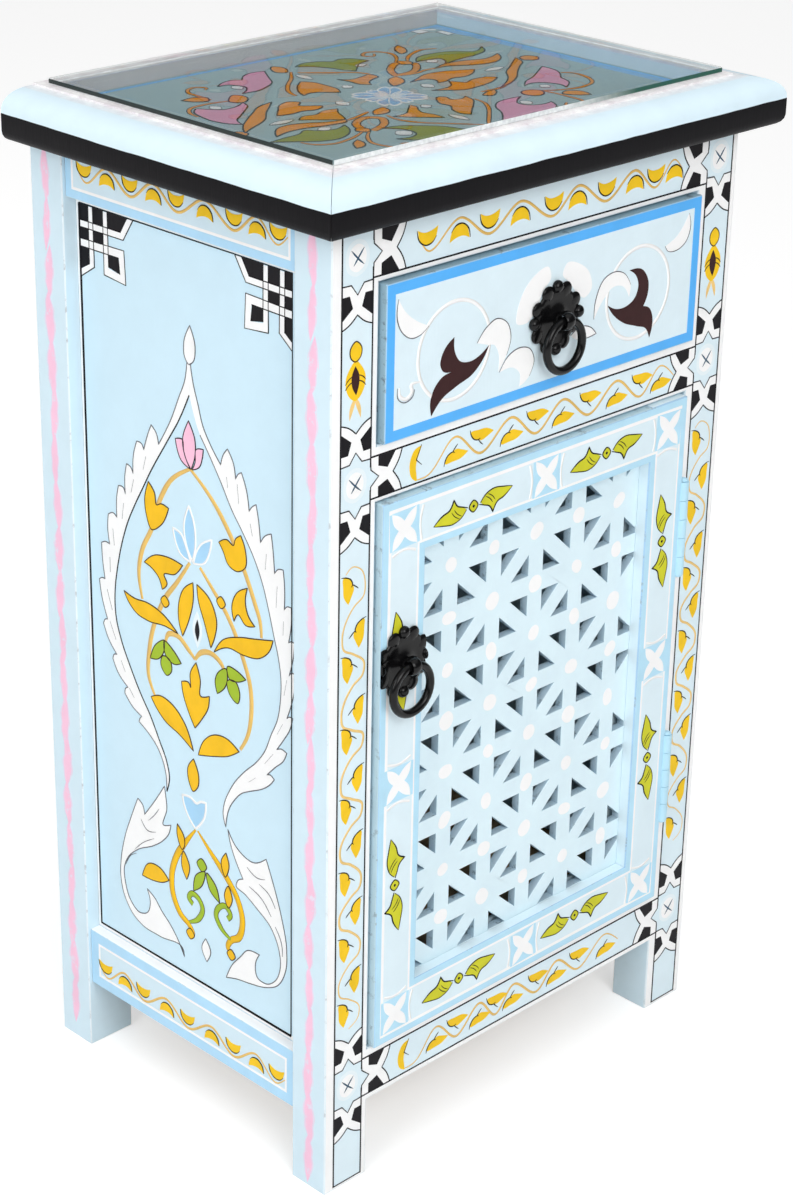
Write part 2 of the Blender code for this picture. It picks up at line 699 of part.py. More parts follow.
def make_catch():
    """Magnetic catch under the middle rail, and the strike plate on the door's back that meets it."""
    x_start = CATCH_FROM_POST - X_OPENING
    x_stop = x_start + CATCH_LENGTH
    y_strike = Y_DOOR_BACK + JOINT_GAP
    y_catch = y_strike + STRIKE_THICKNESS + CATCH_GAP
    z_catch = Z_DOOR_OPENING_TOP - JOINT_GAP
    board("magnetic_catch", (x_start, y_catch, z_catch - CATCH_HEIGHT), (x_stop, Y_FRONT_POST_IN, z_catch),
          "catch_plastic")
    z_strike = Z_DOOR_TOP - STRIKE_DROP
    return board("door_strike_plate", (x_start, y_strike, z_strike - STRIKE_HEIGHT),
                 (x_stop, y_strike + STRIKE_THICKNESS, z_strike), "zinc_steel")


def leaf_corners(side, z_middle):
    """A hinge leaf's plate, against the door's edge (-1) or the post (+1)."""
    if side < 0:
        x_start = X_DOOR_HUNG + JOINT_GAP
    else:
        x_start = X_OPENING - JOINT_GAP - LEAF_THICKNESS
    y_start = HINGE_Y + BARREL_DIAMETER / 2 + KNUCKLE_GAP
    low = Vector((x_start, y_start, z_middle - HINGE_HEIGHT / 2))
    high = Vector((x_start + LEAF_THICKNESS, Y_FACE + LEAF_DEPTH, z_middle + HINGE_HEIGHT / 2))
    return low, high


def screw_place(side, corners, level):
    """Matrix of a leaf screw: local +Z points out of its head, and the head's top is level with the leaf."""
    low, high = corners
    x_top = high.x if side < 0 else low.x
    place = Vector((x_top, high.y - SCREW_FROM_LEAF_EDGE, (low.z + high.z) / 2 + level * SCREW_SPACING / 2))
    turn = Matrix.Rotation(math.radians(90 if side < 0 else -90), 4, "Y")
    return Matrix.Translation(place) @ turn


def screw_profile(ease):
    """Countersunk screw as (radius, height), from its tip to its head, with an ease for cutting its hole."""
    shank = SCREW_SHANK_DIAMETER / 2 + ease
    head = SCREW_HEAD_DIAMETER / 2 + ease
    top = CUT_OVERRUN if ease else 0.0
    profile = [(shank / 2, -SCREW_LENGTH - ease), (shank, shank - SCREW_LENGTH - ease)]
    profile += [(shank, -LEAF_THICKNESS - ease / 2), (head, 0.0)]
    if ease:
        profile.append((head, top))
    return profile


def make_hinge(name, z_middle, hosts):
    """Butt hinge: two leaves with alternate knuckles on one pin, two screws in each leaf, and the door's edge
    scooped out to let the barrel in."""
    pitch = HINGE_HEIGHT / KNUCKLES
    barrel = BARREL_DIAMETER / 2
    pin = PIN_DIAMETER / 2
    bore = pin + JOINT_GAP
    axis = Matrix.Translation((HINGE_X, HINGE_Y, z_middle))
    scoop = barrel + KNUCKLE_GAP
    end = HINGE_HEIGHT / 2 + JOINT_GAP + PIN_HEAD_HEIGHT + KNUCKLE_GAP
    combine(hosts["door"], turned([(scoop, -end), (scoop, end)], ROUND_SIDES, axis), "DIFFERENCE")
    made = {}
    for kind, side, first in (("frame", 1, 0), ("door", -1, 1)):
        corners = leaf_corners(side, z_middle)
        low, high = corners
        leaf = board(f"{name}_{kind}_leaf", low, high, "light_blue_paint")
        for k in range(first, KNUCKLES, 2):
            start = k * pitch - HINGE_HEIGHT / 2 + KNUCKLE_GAP / 2
            stop = start + pitch - KNUCKLE_GAP
            tab_low = Vector((low.x, HINGE_Y, z_middle + start))
            tab_high = Vector((high.x, low.y + CUT_OVERRUN, z_middle + stop))
            combine(leaf, block(tab_low, tab_high), "UNION")
            knuckle = turned([(barrel, start), (barrel, stop)], ROUND_SIDES, axis)
            combine(leaf, knuckle, "UNION")
        through = HINGE_HEIGHT / 2 + CUT_OVERRUN
        combine(leaf, turned([(bore, -through), (bore, through)], ROUND_SIDES, axis), "DIFFERENCE")
        pieces = [leaf]
        for word, level in (("lower", -1), ("upper", 1)):
            place = screw_place(side, corners, level)
            for holed in (leaf, hosts[kind]):
                combine(holed, turned(screw_profile(JOINT_GAP), SCREW_SIDES, place), "DIFFERENCE")
            screw = put(f"{name}_{kind}_screw_{word}", turned(screw_profile(0.0), SCREW_SIDES, place), "zinc_steel")
            pieces.append(screw)
        made[kind] = pieces
        smooth(leaf)
    head = PIN_HEAD_DIAMETER / 2
    half = HINGE_HEIGHT / 2 + JOINT_GAP
    upper = [(pin, half), (head, half), (head, half + PIN_HEAD_HEIGHT / 2), (head / 2, half + PIN_HEAD_HEIGHT)]
    profile = [(r, -h) for r, h in reversed(upper)] + upper
    smooth(put(f"{name}_pin", turned(profile, ROUND_SIDES, axis), "light_blue_paint"))
    return made["door"]


def shank_place(pull):
    """Matrix of a pull's shank: local +Z runs from the eye's centre back into the wood."""
    return Matrix.Translation((pull.x, Y_EYE, pull.z)) @ Matrix.Rotation(math.radians(-90), 4, "X")


def bore_for_shank(piece, pull):
    """The blind hole that takes a pull's shank."""
    radius = SHANK_DIAMETER / 2 + JOINT_GAP
    stop = Y_FACE - Y_EYE + SHANK_DEPTH + JOINT_GAP
    combine(piece, turned([(radius, 0.0), (radius, stop)], SCREW_SIDES, shank_place(pull)), "DIFFERENCE")


def rosette_outline(scale):
    """Lobed outline of a pull's plate about its centre."""
    points = []
    count = PLATE_LOBES * PLATE_POINTS_PER_LOBE
    for k in range(count):
        a = 2 * math.pi * k / count
        bulge = abs(math.cos(a * PLATE_LOBES / 2))
        radius = scale * (PLATE_RADIUS - PLATE_LOBE_DEPTH + PLATE_LOBE_DEPTH * bulge)
        points.append(Vector((radius * math.cos(a), radius * math.sin(a))))
    return points


def make_plate(name, pull, half_width):
    """Rosette plate with a low dome and four beads, trimmed at half_width to each side of its centre."""
    back, front = Y_FACE - JOINT_GAP, Y_PLATE_FRONT
    levels = ((1.0, back), (1.0, (back + front) / 2), (0.88, front), (0.4, front - PLATE_DOME))
    shape = bmesh.new()
    loops = []
    for scale, y in levels:
        loops.append([shape.verts.new((pull.x + p.x, y, pull.z + p.y)) for p in rosette_outline(scale)])
    for outer, inner in zip(loops, loops[1:]):
        bridge(shape, outer, inner)
    shape.faces.new(loops[0])
    shape.faces.new(loops[-1])
    plate = put(name, shape, "black_iron")
    for x, z in ((1, 0), (-1, 0), (0, 1), (0, -1)):
        bead = bmesh.new()
        place = Matrix.Translation((pull.x + x * BEAD_CIRCLE, (back + front) / 2, pull.z + z * BEAD_CIRCLE))
        bmesh.ops.create_icosphere(bead, subdivisions=2, radius=BEAD_RADIUS, matrix=place)
        combine(plate, bead, "UNION")
    wide = PLATE_RADIUS + BEAD_CIRCLE
    trims = [(Vector((pull.x - wide, back, pull.z - wide)), Vector((pull.x + wide, back + wide, pull.z + wide)))]
    if half_width < BEAD_CIRCLE + BEAD_RADIUS:
        for sign in (-1, 1):
            x_low, x_high = sorted((pull.x + sign * half_width, pull.x + sign * wide))
            trims.append((Vector((x_low, front - wide, pull.z - wide)), Vector((x_high, back + wide, pull.z + wide))))
    for corners in trims:
        combine(plate, block(*corners), "DIFFERENCE")
    bore_for_shank(plate, pull)
    smooth(plate)
    return plate


def make_pull(body, pull, half_width):
    """Ring pull: rosette plate, an eye whose shank goes into the wood, and the ring that hangs in the eye."""
    plate = make_plate(f"{body}_pull_plate", pull, half_width)
    centre = Vector((pull.x, Y_EYE, pull.z))
    sideways = Matrix.Translation(centre) @ Matrix.Rotation(math.radians(90), 4, "Y")
    eye = put(f"{body}_pull_eye", hoop(EYE_RADIUS, EYE_WIRE / 2, ROUND_SIDES, sideways), "black_iron")
    shank = turned([(SHANK_DIAMETER / 2, EYE_RADIUS), (SHANK_DIAMETER / 2, Y_FACE - Y_EYE + SHANK_DEPTH)],
                   SCREW_SIDES, shank_place(pull))
    combine(eye, shank, "UNION")
    smooth(eye)
    facing = Matrix.Translation(centre - Vector((0, 0, RING_RADIUS))) @ Matrix.Rotation(math.radians(90), 4, "X")
    ring = put(f"{body}_pull_ring", hoop(RING_RADIUS, RING_WIRE / 2, RING_STEPS, facing), "black_iron")
    smooth(ring, 60)
    return [plate, eye], ring, centre


def main():
    """Build every piece, then hang the moving ones on their axes."""
    clear_scene()
    make_rails_and_panels()
    make_posts()
    make_floor()
    make_runners()
    make_top()
    drawer = make_drawer()
    door = make_door()
    door.append(make_catch())
    hosts = {"frame": bpy.data.objects["post_front_right"], "door": bpy.data.objects["door_stile_right"]}
    door += make_hinge("hinge_upper", Z_DOOR_TOP - HINGE_FROM_DOOR_TOP, hosts)
    door += make_hinge("hinge_lower", Z_DOOR + HINGE_FROM_DOOR_BOTTOM, hosts)
    whole_plate = BEAD_CIRCLE + BEAD_RADIUS
    drawer_pull, drawer_ring, drawer_eye = make_pull("drawer", DRAWER_PULL, whole_plate)
    door_pull, door_ring, door_eye = make_pull("door", DOOR_PULL, DOOR_STILE_WIDTH / 2)

    drawer_axis = axis_point("drawer_slide_axis", (0.0, Y_FACE, Z_DRAWER))
    carry(drawer_axis, drawer + drawer_pull)
    carry(axis_point("drawer_ring_axis", drawer_eye, drawer_axis), [drawer_ring])
    door_axis = axis_point("door_hinge_axis", (HINGE_X, HINGE_Y, Z_DOOR_MIDDLE))
    carry(door_axis, door + door_pull)
    carry(axis_point("door_ring_axis", door_eye, door_axis), [door_ring])


main()
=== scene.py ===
# %% [markdown]
# # A painted nightstand
# The stand is a small frame-and-panel case: four posts, rails between them, thin panels, one drawer, and a
# door with a fretwork panel. A moulded tray top carries a loose pane of glass. All of it is painted by
# hand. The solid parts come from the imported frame, so every board is already where it belongs. This lesson
# gives them their finish: eased edges, brushed paint, the painted ornament, iron pulls and glass.

# %% Load the frame
import json
import math

import bmesh
import bpy
from mathutils import Matrix, Vector

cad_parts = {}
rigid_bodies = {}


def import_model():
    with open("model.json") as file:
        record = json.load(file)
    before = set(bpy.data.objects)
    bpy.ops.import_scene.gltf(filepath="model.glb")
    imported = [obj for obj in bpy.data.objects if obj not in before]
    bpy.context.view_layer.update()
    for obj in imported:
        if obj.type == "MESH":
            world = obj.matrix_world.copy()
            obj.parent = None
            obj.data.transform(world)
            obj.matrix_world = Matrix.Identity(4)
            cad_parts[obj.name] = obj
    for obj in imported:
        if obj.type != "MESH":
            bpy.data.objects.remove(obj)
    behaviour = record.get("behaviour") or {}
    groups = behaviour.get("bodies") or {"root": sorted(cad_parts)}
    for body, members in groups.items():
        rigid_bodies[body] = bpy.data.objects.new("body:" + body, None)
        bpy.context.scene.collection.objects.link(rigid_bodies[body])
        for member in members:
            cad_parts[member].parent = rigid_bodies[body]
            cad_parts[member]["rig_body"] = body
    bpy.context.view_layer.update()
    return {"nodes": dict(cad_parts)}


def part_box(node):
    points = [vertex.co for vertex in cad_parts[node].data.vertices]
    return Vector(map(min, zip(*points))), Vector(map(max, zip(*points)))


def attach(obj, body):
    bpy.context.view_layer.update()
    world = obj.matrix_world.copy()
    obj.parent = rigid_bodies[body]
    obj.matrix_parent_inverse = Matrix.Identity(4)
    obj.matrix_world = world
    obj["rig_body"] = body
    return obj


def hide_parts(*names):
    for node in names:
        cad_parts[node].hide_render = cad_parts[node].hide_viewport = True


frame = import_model()
boards = frame["nodes"]
MM = 0.001

# %% [markdown]
# ## Camera
# The photograph looks down on the stand's near left corner from about chest height. A long lens from 1.8 m
# keeps the posts nearly parallel. The camera is turned a little about its own axis, because the picture
# leans.

# %% Camera
eye = Vector((-1.2072, -1.19725, 1.1137))
aim = Vector((-0.0112, -0.01445, 0.35))
LEAN = 0.0198
backward = (eye - aim).normalized()
level = Vector((-backward.y, backward.x, 0)).normalized()
rightward = math.cos(LEAN) * level + math.sin(LEAN) * backward.cross(level)
upward = backward.cross(rightward)
lens = bpy.data.cameras.new("camera")
lens.lens = 80
lens.sensor_width = 36
camera = bpy.data.objects.new("camera", lens)
camera.matrix_world = Matrix.Translation(eye) @ Matrix((rightward, upward, backward)).transposed().to_4x4()
bpy.context.scene.collection.objects.link(camera)
bpy.context.scene.camera = camera
bpy.context.scene.view_settings.view_transform = "Standard"
print("camera is", round((eye - aim).length, 2), "m from the stand")

# %% [markdown]
# ## A helper for nodes
# Materials and Geometry Nodes are both networks of nodes. One short helper adds a node, sets its fields,
# and either sets or links each input, so that the trees below read like recipes.


# %% Add a node
def add(tree, kind, inputs=None, **fields):
    """Add one node; an input is given by its name or number, as a value or as another node's output."""
    made = tree.nodes.new(kind)
    for field, value in fields.items():
        setattr(made, field, value)
    for socket, value in (inputs or {}).items():
        if isinstance(value, bpy.types.NodeSocket):
            tree.links.new(value, made.inputs[socket])
        else:
            made.inputs[socket].default_value = value
    return made


def screen(red, green, blue):
    """A colour as it is seen on screen, 0 to 255, in the linear numbers that a shader takes."""
    parts = [value / 255 for value in (red, green, blue)]
    return [part / 12.92 if part < 0.04 else ((part + 0.055) / 1.055) ** 2.4 for part in parts] + [1.0]


def shaded(colour, amount):
    """The same colour, lighter or darker."""
    return [min(1.0, part * amount) for part in colour[:3]] + [1.0]


def ramp(tree, amount, low, low_colour, high, high_colour):
    """Two colours that blend into each other between two amounts."""
    made = add(tree, "ShaderNodeValToRGB", {"Fac": amount})
    for stop, place, colour in zip(made.color_ramp.elements, (low, high), (low_colour, high_colour)):
        stop.position = place
        stop.color = colour
    return made.outputs["Color"]


# %% [markdown]
# ## Floor and light
# A photographer's sweep of pale paper and large soft lamps give the even light of the photograph. The paper
# looks a little brighter than it lights the stand, in mirrors and through glass too, so that it is white
# but still shows the stand's soft shadow.

# %% Floor and light
FLOOR_SIZE = 9.0
floor_mesh = bpy.data.meshes.new("floor")
half = FLOOR_SIZE / 2
floor_mesh.from_pydata([
    (-half, -half, 0), (half, -half, 0), (half, half, 0), (-half, half, 0)], [], [(0, 1, 2, 3)])
floor = bpy.data.objects.new("floor", floor_mesh)
bpy.context.scene.collection.objects.link(floor)
paper = bpy.data.materials.new("pale_paper")
paper.use_nodes = True
tree = paper.node_tree
tree.nodes.clear()
rays = add(tree, "ShaderNodeLightPath").outputs
seen = add(tree, "ShaderNodeMath", {0: rays["Is Camera Ray"], 1: rays["Is Glossy Ray"]}, operation="ADD")
seen = add(tree, "ShaderNodeMath", {0: seen.outputs[0], 1: rays["Is Transmission Ray"]}, operation="ADD")
glow = add(tree, "ShaderNodeMath", {0: seen.outputs[0], 1: 0.42}, operation="MULTIPLY")
matt = add(tree, "ShaderNodeBsdfDiffuse", {"Color": (0.8, 0.8, 0.8, 1)})
lift = add(tree, "ShaderNodeEmission", {"Color": (1, 1, 1, 1), "Strength": glow.outputs[0]})
both = add(tree, "ShaderNodeAddShader", {0: matt.outputs[0], 1: lift.outputs[0]})
add(tree, "ShaderNodeOutputMaterial", {"Surface": both.outputs[0]})
floor_mesh.materials.append(paper)

room = bpy.data.worlds.new("white_room")
bpy.context.scene.world = room
room.use_nodes = True
tree = room.node_tree
tree.nodes.clear()
rays = add(tree, "ShaderNodeLightPath").outputs
way = add(tree, "ShaderNodeTexCoord").outputs["Generated"]
height = add(tree, "ShaderNodeSeparateXYZ", {0: way}).outputs["Z"]
ceiling = add(tree, "ShaderNodeMapRange", {0: height, 1: 0.52, 2: 0.75, 3: 0.1, 4: 0.9}).outputs[0]
dim = add(tree, "ShaderNodeBackground", {"Color": (1, 1, 1, 1), "Strength": ceiling})
bright = add(tree, "ShaderNodeBackground", {"Color": (1, 1, 1, 1), "Strength": 1.0})
sight = add(tree, "ShaderNodeMixShader", {0: rays["Is Camera Ray"], 1: dim.outputs[0], 2: bright.outputs[0]})
add(tree, "ShaderNodeOutputWorld", {"Surface": sight.outputs[0]})


def softbox(name, place, size, watts):
    """A square soft lamp that faces the middle of the stand."""
    lamp = bpy.data.lights.new(name, "AREA")
    lamp.size = size
    lamp.energy = watts
    made = bpy.data.objects.new(name, lamp)
    way = Vector((0, 0, 0.4)) - Vector(place)
    made.matrix_world = Matrix.Translation(place) @ way.to_track_quat("-Z", "Y").to_matrix().to_4x4()
    bpy.context.scene.collection.objects.link(made)


softbox("key_lamp", (-1.0, -2.4, 1.9), 1.6, 45.5)
softbox("side_lamp", (-2.6, -0.4, 1.6), 1.6, 29)
softbox("top_lamp", (0.3, -0.2, 2.9), 1.8, 2.5)
softbox("back_lamp", (-0.7, 2.6, 0.7), 1.2, 9)
print("lamps:", ", ".join(lamp.name for lamp in bpy.data.lights))

# %% [markdown]
# ## Brushed paint
# The colours are thin satin paint laid on with a brush. Each one drifts a little in strength, shows fine
# strokes, and shines unevenly where the coat is thick or thin. One function makes them all from a colour as
# it is seen in the photograph. The noise reads Object coordinates, so it stays on the wood as a door or
# drawer moves.


# %% Brushed paint
def new_material(name):
    """An empty Principled material: the material, its tree and its shader."""
    made = bpy.data.materials.new(name)
    made.use_nodes = True
    return made, made.node_tree, made.node_tree.nodes["Principled BSDF"]


def dress(tree, shader, tone, shine, ridge):
    """Join colour, shine and relief to a shader."""
    for value, socket in (
            (tone, "Base Color"), (shine.outputs[0], "Roughness"), (ridge.outputs["Normal"], "Normal")):
        tree.links.new(value, shader.inputs[socket])


def brushed_paint(name, colour, drift=0.05, rough=0.46, gloss=0.5, strokes=(110, 110, 14)):
    """Satin paint: cloudy colour, fine brush strokes, and a shine that follows them."""
    made, tree, coat = new_material(name)
    coat.inputs["Specular IOR Level"].default_value = gloss
    place = add(tree, "ShaderNodeTexCoord").outputs["Object"]
    cloud = add(tree, "ShaderNodeTexNoise", {"Vector": place, "Scale": 42, "Detail": 5, "Roughness": 0.62})
    drawn = add(tree, "ShaderNodeMapping", {"Vector": place, "Scale": strokes})
    brush = add(tree, "ShaderNodeTexNoise", {"Vector": drawn.outputs[0], "Scale": 6, "Detail": 4})
    tone = ramp(
        tree, cloud.outputs["Fac"], 0.32, shaded(colour, 1 - drift), 0.68, shaded(colour, 1 + drift * 0.5))
    shine = add(tree, "ShaderNodeMapRange", {0: brush.outputs["Fac"], 3: rough - 0.1, 4: rough + 0.12})
    ridge = add(tree, "ShaderNodeBump", {
        "Height": brush.outputs["Fac"], "Strength": 0.12, "Distance": 0.0006})
    dress(tree, coat, tone, shine, ridge)
    return made


pale_blue = brushed_paint("pale_blue_paint", screen(213, 235, 246), 0.03)
panel_blue = brushed_paint("panel_blue_paint", screen(208, 236, 250), 0.02)
front_blue = brushed_paint("front_pale_paint", screen(224, 242, 250), 0.03)
white = brushed_paint("white_paint", screen(252, 252, 252), 0.03)
border_blue = brushed_paint("border_blue_paint", screen(180, 224, 252))
door_blue = brushed_paint("door_blue_paint", screen(186, 229, 250))
drawer_blue = brushed_paint("drawer_blue_paint", screen(80, 179, 252))
yellow = brushed_paint("yellow_paint", screen(250, 204, 32), 0.09, gloss=0.15)
amber = brushed_paint("amber_paint", screen(250, 196, 28), 0.09, gloss=0.15)
vine_orange = brushed_paint("vine_orange_paint", screen(236, 192, 98), 0.1)
stem_tan = brushed_paint("stem_tan_paint", screen(245, 206, 126), 0.1)
leaf_green = brushed_paint("leaf_green_paint", screen(166, 194, 48), 0.08, gloss=0.15)
lime = brushed_paint("lime_paint", screen(212, 210, 44), 0.1, gloss=0.15)
pink = brushed_paint("pink_paint", screen(252, 196, 222), 0.05)
flower_blue = brushed_paint("flower_blue_paint", screen(168, 216, 248), 0.05)
black = brushed_paint("black_paint", screen(24, 22, 26), 0.2, 0.5, 0.1)
line_grey = brushed_paint("thin_line_paint", screen(84, 84, 92), 0.15)
brown = brushed_paint("dark_brown_paint", screen(56, 28, 29), 0.15, 0.45, 0.12)
print("paints:", len(bpy.data.materials))

# %% [markdown]
# ## Eased boards
# A joiner breaks every sharp edge before painting, and the paint there wears first. Each board's copy is
# merged, its long edges are bevelled by less than a millimetre, and the narrow new faces take a chalkier,
# rubbed paint. Only edges that lie on the outside of the board are eased: shoulders, mortises and grooves
# stay crisp.


# %% Rubbed edges and eased boards
def rubbed_paint(name, colour, under):
    """Paint that is worn through to what lies under it in small patches."""
    made = brushed_paint(name, colour)
    tree = made.node_tree
    coat = tree.nodes["Principled BSDF"]
    place = tree.nodes["Texture Coordinate"].outputs["Object"]
    chips = add(tree, "ShaderNodeTexNoise", {"Vector": place, "Scale": 130, "Detail": 6, "Roughness": 0.7})
    worn = add(tree, "ShaderNodeMapRange", {0: chips.outputs["Fac"], 1: 0.56, 2: 0.66})
    paint_tone = coat.inputs["Base Color"].links[0].from_socket
    blend = add(tree, "ShaderNodeMix", {0: worn.outputs[0], 6: paint_tone, 7: under}, data_type="RGBA")
    tree.links.new(blend.outputs[2], coat.inputs["Base Color"])
    return made


pale_edge = rubbed_paint("rubbed_pale_edge", screen(226, 238, 244), screen(188, 196, 202))
blue_edge = rubbed_paint("rubbed_blue_edge", screen(168, 206, 236), screen(150, 166, 180))
# Painted shade: the drawer front's left and top sides take a darker grey-blue for the shade they stand in,
# with rubbed patches of wear.
drawer_side_shade = rubbed_paint("drawer_side_painted_shade", screen(140, 172, 188), screen(96, 116, 130))
# Painted shade: the door's left side and top edge take a greyer blue for the shade they stand in, with rubbed
# patches of wear.
door_shaded_side = rubbed_paint("door_painted_shade_side", screen(182, 210, 222), screen(140, 160, 172))


def merged(node):
    """A bmesh copy of a board whose triangles share their corners."""
    shape = bmesh.new()
    shape.from_mesh(boards[node].data)
    bmesh.ops.remove_doubles(shape, verts=shape.verts, dist=2e-6)
    return shape


def loose_copy(node):
    """A merged copy of a board: its triangles become the flat faces that they came from."""
    shape = merged(node)
    bmesh.ops.dissolve_limit(shape, angle_limit=0.01, verts=shape.verts, edges=shape.edges)
    return shape


def soften(shape, crease):
    """Shade faces smoothly, apart from edges that turn by more than the crease, in radians."""
    for face in shape.faces:
        face.smooth = True
    for edge in shape.edges:
        edge.smooth = edge.calc_face_angle(math.pi) < crease


def new_piece(name, shape, paints, body, stands_for=()):
    """Turn a bmesh into a piece that rides on a body and takes a finish."""
    mesh = bpy.data.meshes.new(name)
    shape.to_mesh(mesh)
    shape.free()
    for paint in paints:
        mesh.materials.append(paint)
    piece = bpy.data.objects.new(name, mesh)
    bpy.context.scene.collection.objects.link(piece)
    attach(piece, body)
    if stands_for:
        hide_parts(*stands_for)
    return piece


def outside_edges(shape, node):
    """The edges that lie along the edges of the board's own box."""
    low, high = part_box(node)

    def walls(point):
        return {(axis, side) for axis in range(3) for side, wall in enumerate((low, high))
                if abs(point[axis] - wall[axis]) < 2e-5}

    return [edge for edge in shape.edges if len(walls(edge.verts[0].co) & walls(edge.verts[1].co)) >= 2]


LEFT, UP = Vector((-1, 0, 0)), Vector((0, 0, 1))


def eased(node, paint, edge_paint, side_paint=None, sides=(LEFT, UP), ease=0.0009):
    """Replace a board by a copy with eased, rubbed outside edges; named sides may take their own paint, white
    or painted shade.
    """
    shape = loose_copy(node)
    bmesh.ops.bevel(shape, geom=outside_edges(shape, node), offset=ease, segments=2, profile=0.5,
                    affect="EDGES", material=1)
    for face in shape.faces:
        if side_paint and any(face.normal.dot(side) > 0.9 for side in sides):
            face.material_index = 2
    paints = [paint, edge_paint] + ([side_paint] if side_paint else [])
    return new_piece(node + "_board", shape, paints, boards[node]["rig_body"], [node])


POSTS = ["post_front_left", "post_front_right", "post_back_left", "post_back_right"]
RAILS = ["rail_front_top", "rail_front_middle", "rail_front_bottom", "rail_left_top", "rail_left_bottom",
         "rail_right_top", "rail_right_bottom", "rail_back_top", "rail_back_bottom"]
DOOR_FRAME = ["door_stile_left", "door_stile_right", "door_rail_top", "door_rail_bottom"]
for node in POSTS + RAILS:
    ledge = node in ("rail_left_bottom", "rail_right_bottom")
    eased(node, pale_blue, pale_edge, white if ledge else None, (UP,))
# the drawer front's left and top sides carry painted shade
eased("drawer_front", front_blue, blue_edge, drawer_side_shade)
# the door's left stile and top rail carry painted shade on their left and top sides
for node in DOOR_FRAME:
    eased(node, front_blue, blue_edge, door_shaded_side if node in ("door_stile_left", "door_rail_top") else None)
print("eased boards:", len(POSTS + RAILS + DOOR_FRAME) + 1)

# %% [markdown]
# ## Fretwork panel
# The door's panel is a star lattice sawn out of one board. A fretsaw leaves sharp edges that sanding and
# paint soften, so only the edges between the front face and the holes are eased. The walls of the holes are
# painted greyer, as painted shade inside the holes, and get a paint of their own, chosen by the way each face
# points. The bars are thinner than the board's border, which fills the groove, so the backs of the holes are
# drawn forward.

# %% Fretwork panel
BAR_DEPTH = 0.0063
HOLES_REACH, HOLES_LOW, HOLES_HIGH = 0.1085, 0.1405, 0.4565
# The hole walls' greyer paint is painted shade inside the holes, with rubbed patches of wear.
hole_wall_shade = rubbed_paint("fretwork_wall_painted_shade", screen(188, 212, 226), screen(126, 146, 158))
fret_front = brushed_paint("fretwork_paint", screen(224, 245, 254), 0.04)
shape = merged("door_lattice")
front_wall, back_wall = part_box("door_lattice")[0].y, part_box("door_lattice")[1].y
rim = [edge for edge in shape.edges if len(edge.link_faces) == 2
       and sum(face.normal.y < -0.9 for face in edge.link_faces) == 1 and edge.calc_face_angle() > 1.0]
bmesh.ops.bevel(shape, geom=rim, offset=0.0003, segments=2, profile=0.5, affect="EDGES")
for vert in shape.verts:
    if vert.co.y > back_wall - 1e-5 and abs(vert.co.x) < HOLES_REACH and HOLES_LOW < vert.co.z < HOLES_HIGH:
        vert.co.y = front_wall + BAR_DEPTH
shape.normal_update()
for face in shape.faces:
    face.material_index = 0 if abs(face.normal.y) > 0.2 else 1
new_piece("fretwork_panel", shape, [fret_front, hole_wall_shade], "door", ["door_lattice"])
print("fretwork edges eased:", len(rim))

# %% [markdown]
# ## Panels, inside boards and fittings
# The thin panels keep their CAD shape and only need paint. Drawer sides, runners, cleats and the floor
# board are left as bare softwood, as furniture makers leave what does not show. The grain is noise
# stretched along each board's length.


# %% Bare wood, metal and plastic
def bare_wood(name, along):
    """Pale softwood with its grain drawn out along one axis."""
    made, tree, wood = new_material(name)
    stretch = [70, 70, 70]
    stretch[along] = 3
    place = add(tree, "ShaderNodeTexCoord").outputs["Object"]
    drawn = add(tree, "ShaderNodeMapping", {"Vector": place, "Scale": stretch})
    bands = add(tree, "ShaderNodeTexNoise", {
        "Vector": drawn.outputs[0], "Scale": 1.2, "Detail": 3, "Distortion": 0.6})
    pores = add(tree, "ShaderNodeTexNoise", {"Vector": drawn.outputs[0], "Scale": 9, "Detail": 5})
    tone = ramp(tree, bands.outputs["Fac"], 0.35, screen(176, 138, 96), 0.65, screen(214, 184, 142))
    shine = add(tree, "ShaderNodeMapRange", {0: pores.outputs["Fac"], 3: 0.55, 4: 0.75})
    ridge = add(tree, "ShaderNodeBump", {
        "Height": pores.outputs["Fac"], "Strength": 0.2, "Distance": 0.0005})
    dress(tree, wood, tone, shine, ridge)
    return made


def metal(name, colour, metallic, low, high, scale=220, bump=0.1):
    """Metal or hard plastic: an uneven shine and a fine roughness."""
    made, tree, shell = new_material(name)
    shell.inputs["Metallic"].default_value = metallic
    place = add(tree, "ShaderNodeTexCoord").outputs["Object"]
    spots = add(tree, "ShaderNodeTexNoise", {"Vector": place, "Scale": scale, "Detail": 5, "Roughness": 0.6})
    tone = ramp(tree, spots.outputs["Fac"], 0.3, shaded(colour, 0.75), 0.7, shaded(colour, 1.15))
    shine = add(tree, "ShaderNodeMapRange", {0: spots.outputs["Fac"], 3: low, 4: high})
    ridge = add(tree, "ShaderNodeBump", {
        "Height": spots.outputs["Fac"], "Strength": bump, "Distance": 0.0004})
    dress(tree, shell, tone, shine, ridge)
    return made


wood_long = bare_wood("bare_wood_deep", 1)
wood_wide = bare_wood("bare_wood_wide", 0)
black_iron = metal("black_iron", screen(13, 13, 14), 0.0, 0.14, 0.26)
black_iron.node_tree.nodes["Principled BSDF"].inputs["Specular IOR Level"].default_value = 0.22
zinc = metal("zinc_steel", screen(196, 198, 200), 1.0, 0.3, 0.5)
dark_plastic = metal("catch_plastic", screen(74, 52, 38), 0.0, 0.4, 0.55)
hinge_paint = brushed_paint("hinge_paint", screen(186, 228, 247), 0.06)


def finish_nodes(material, *nodes):
    """Give CAD nodes that keep their own shape a material."""
    for node in nodes:
        boards[node].data.materials.clear()
        boards[node].data.materials.append(material)


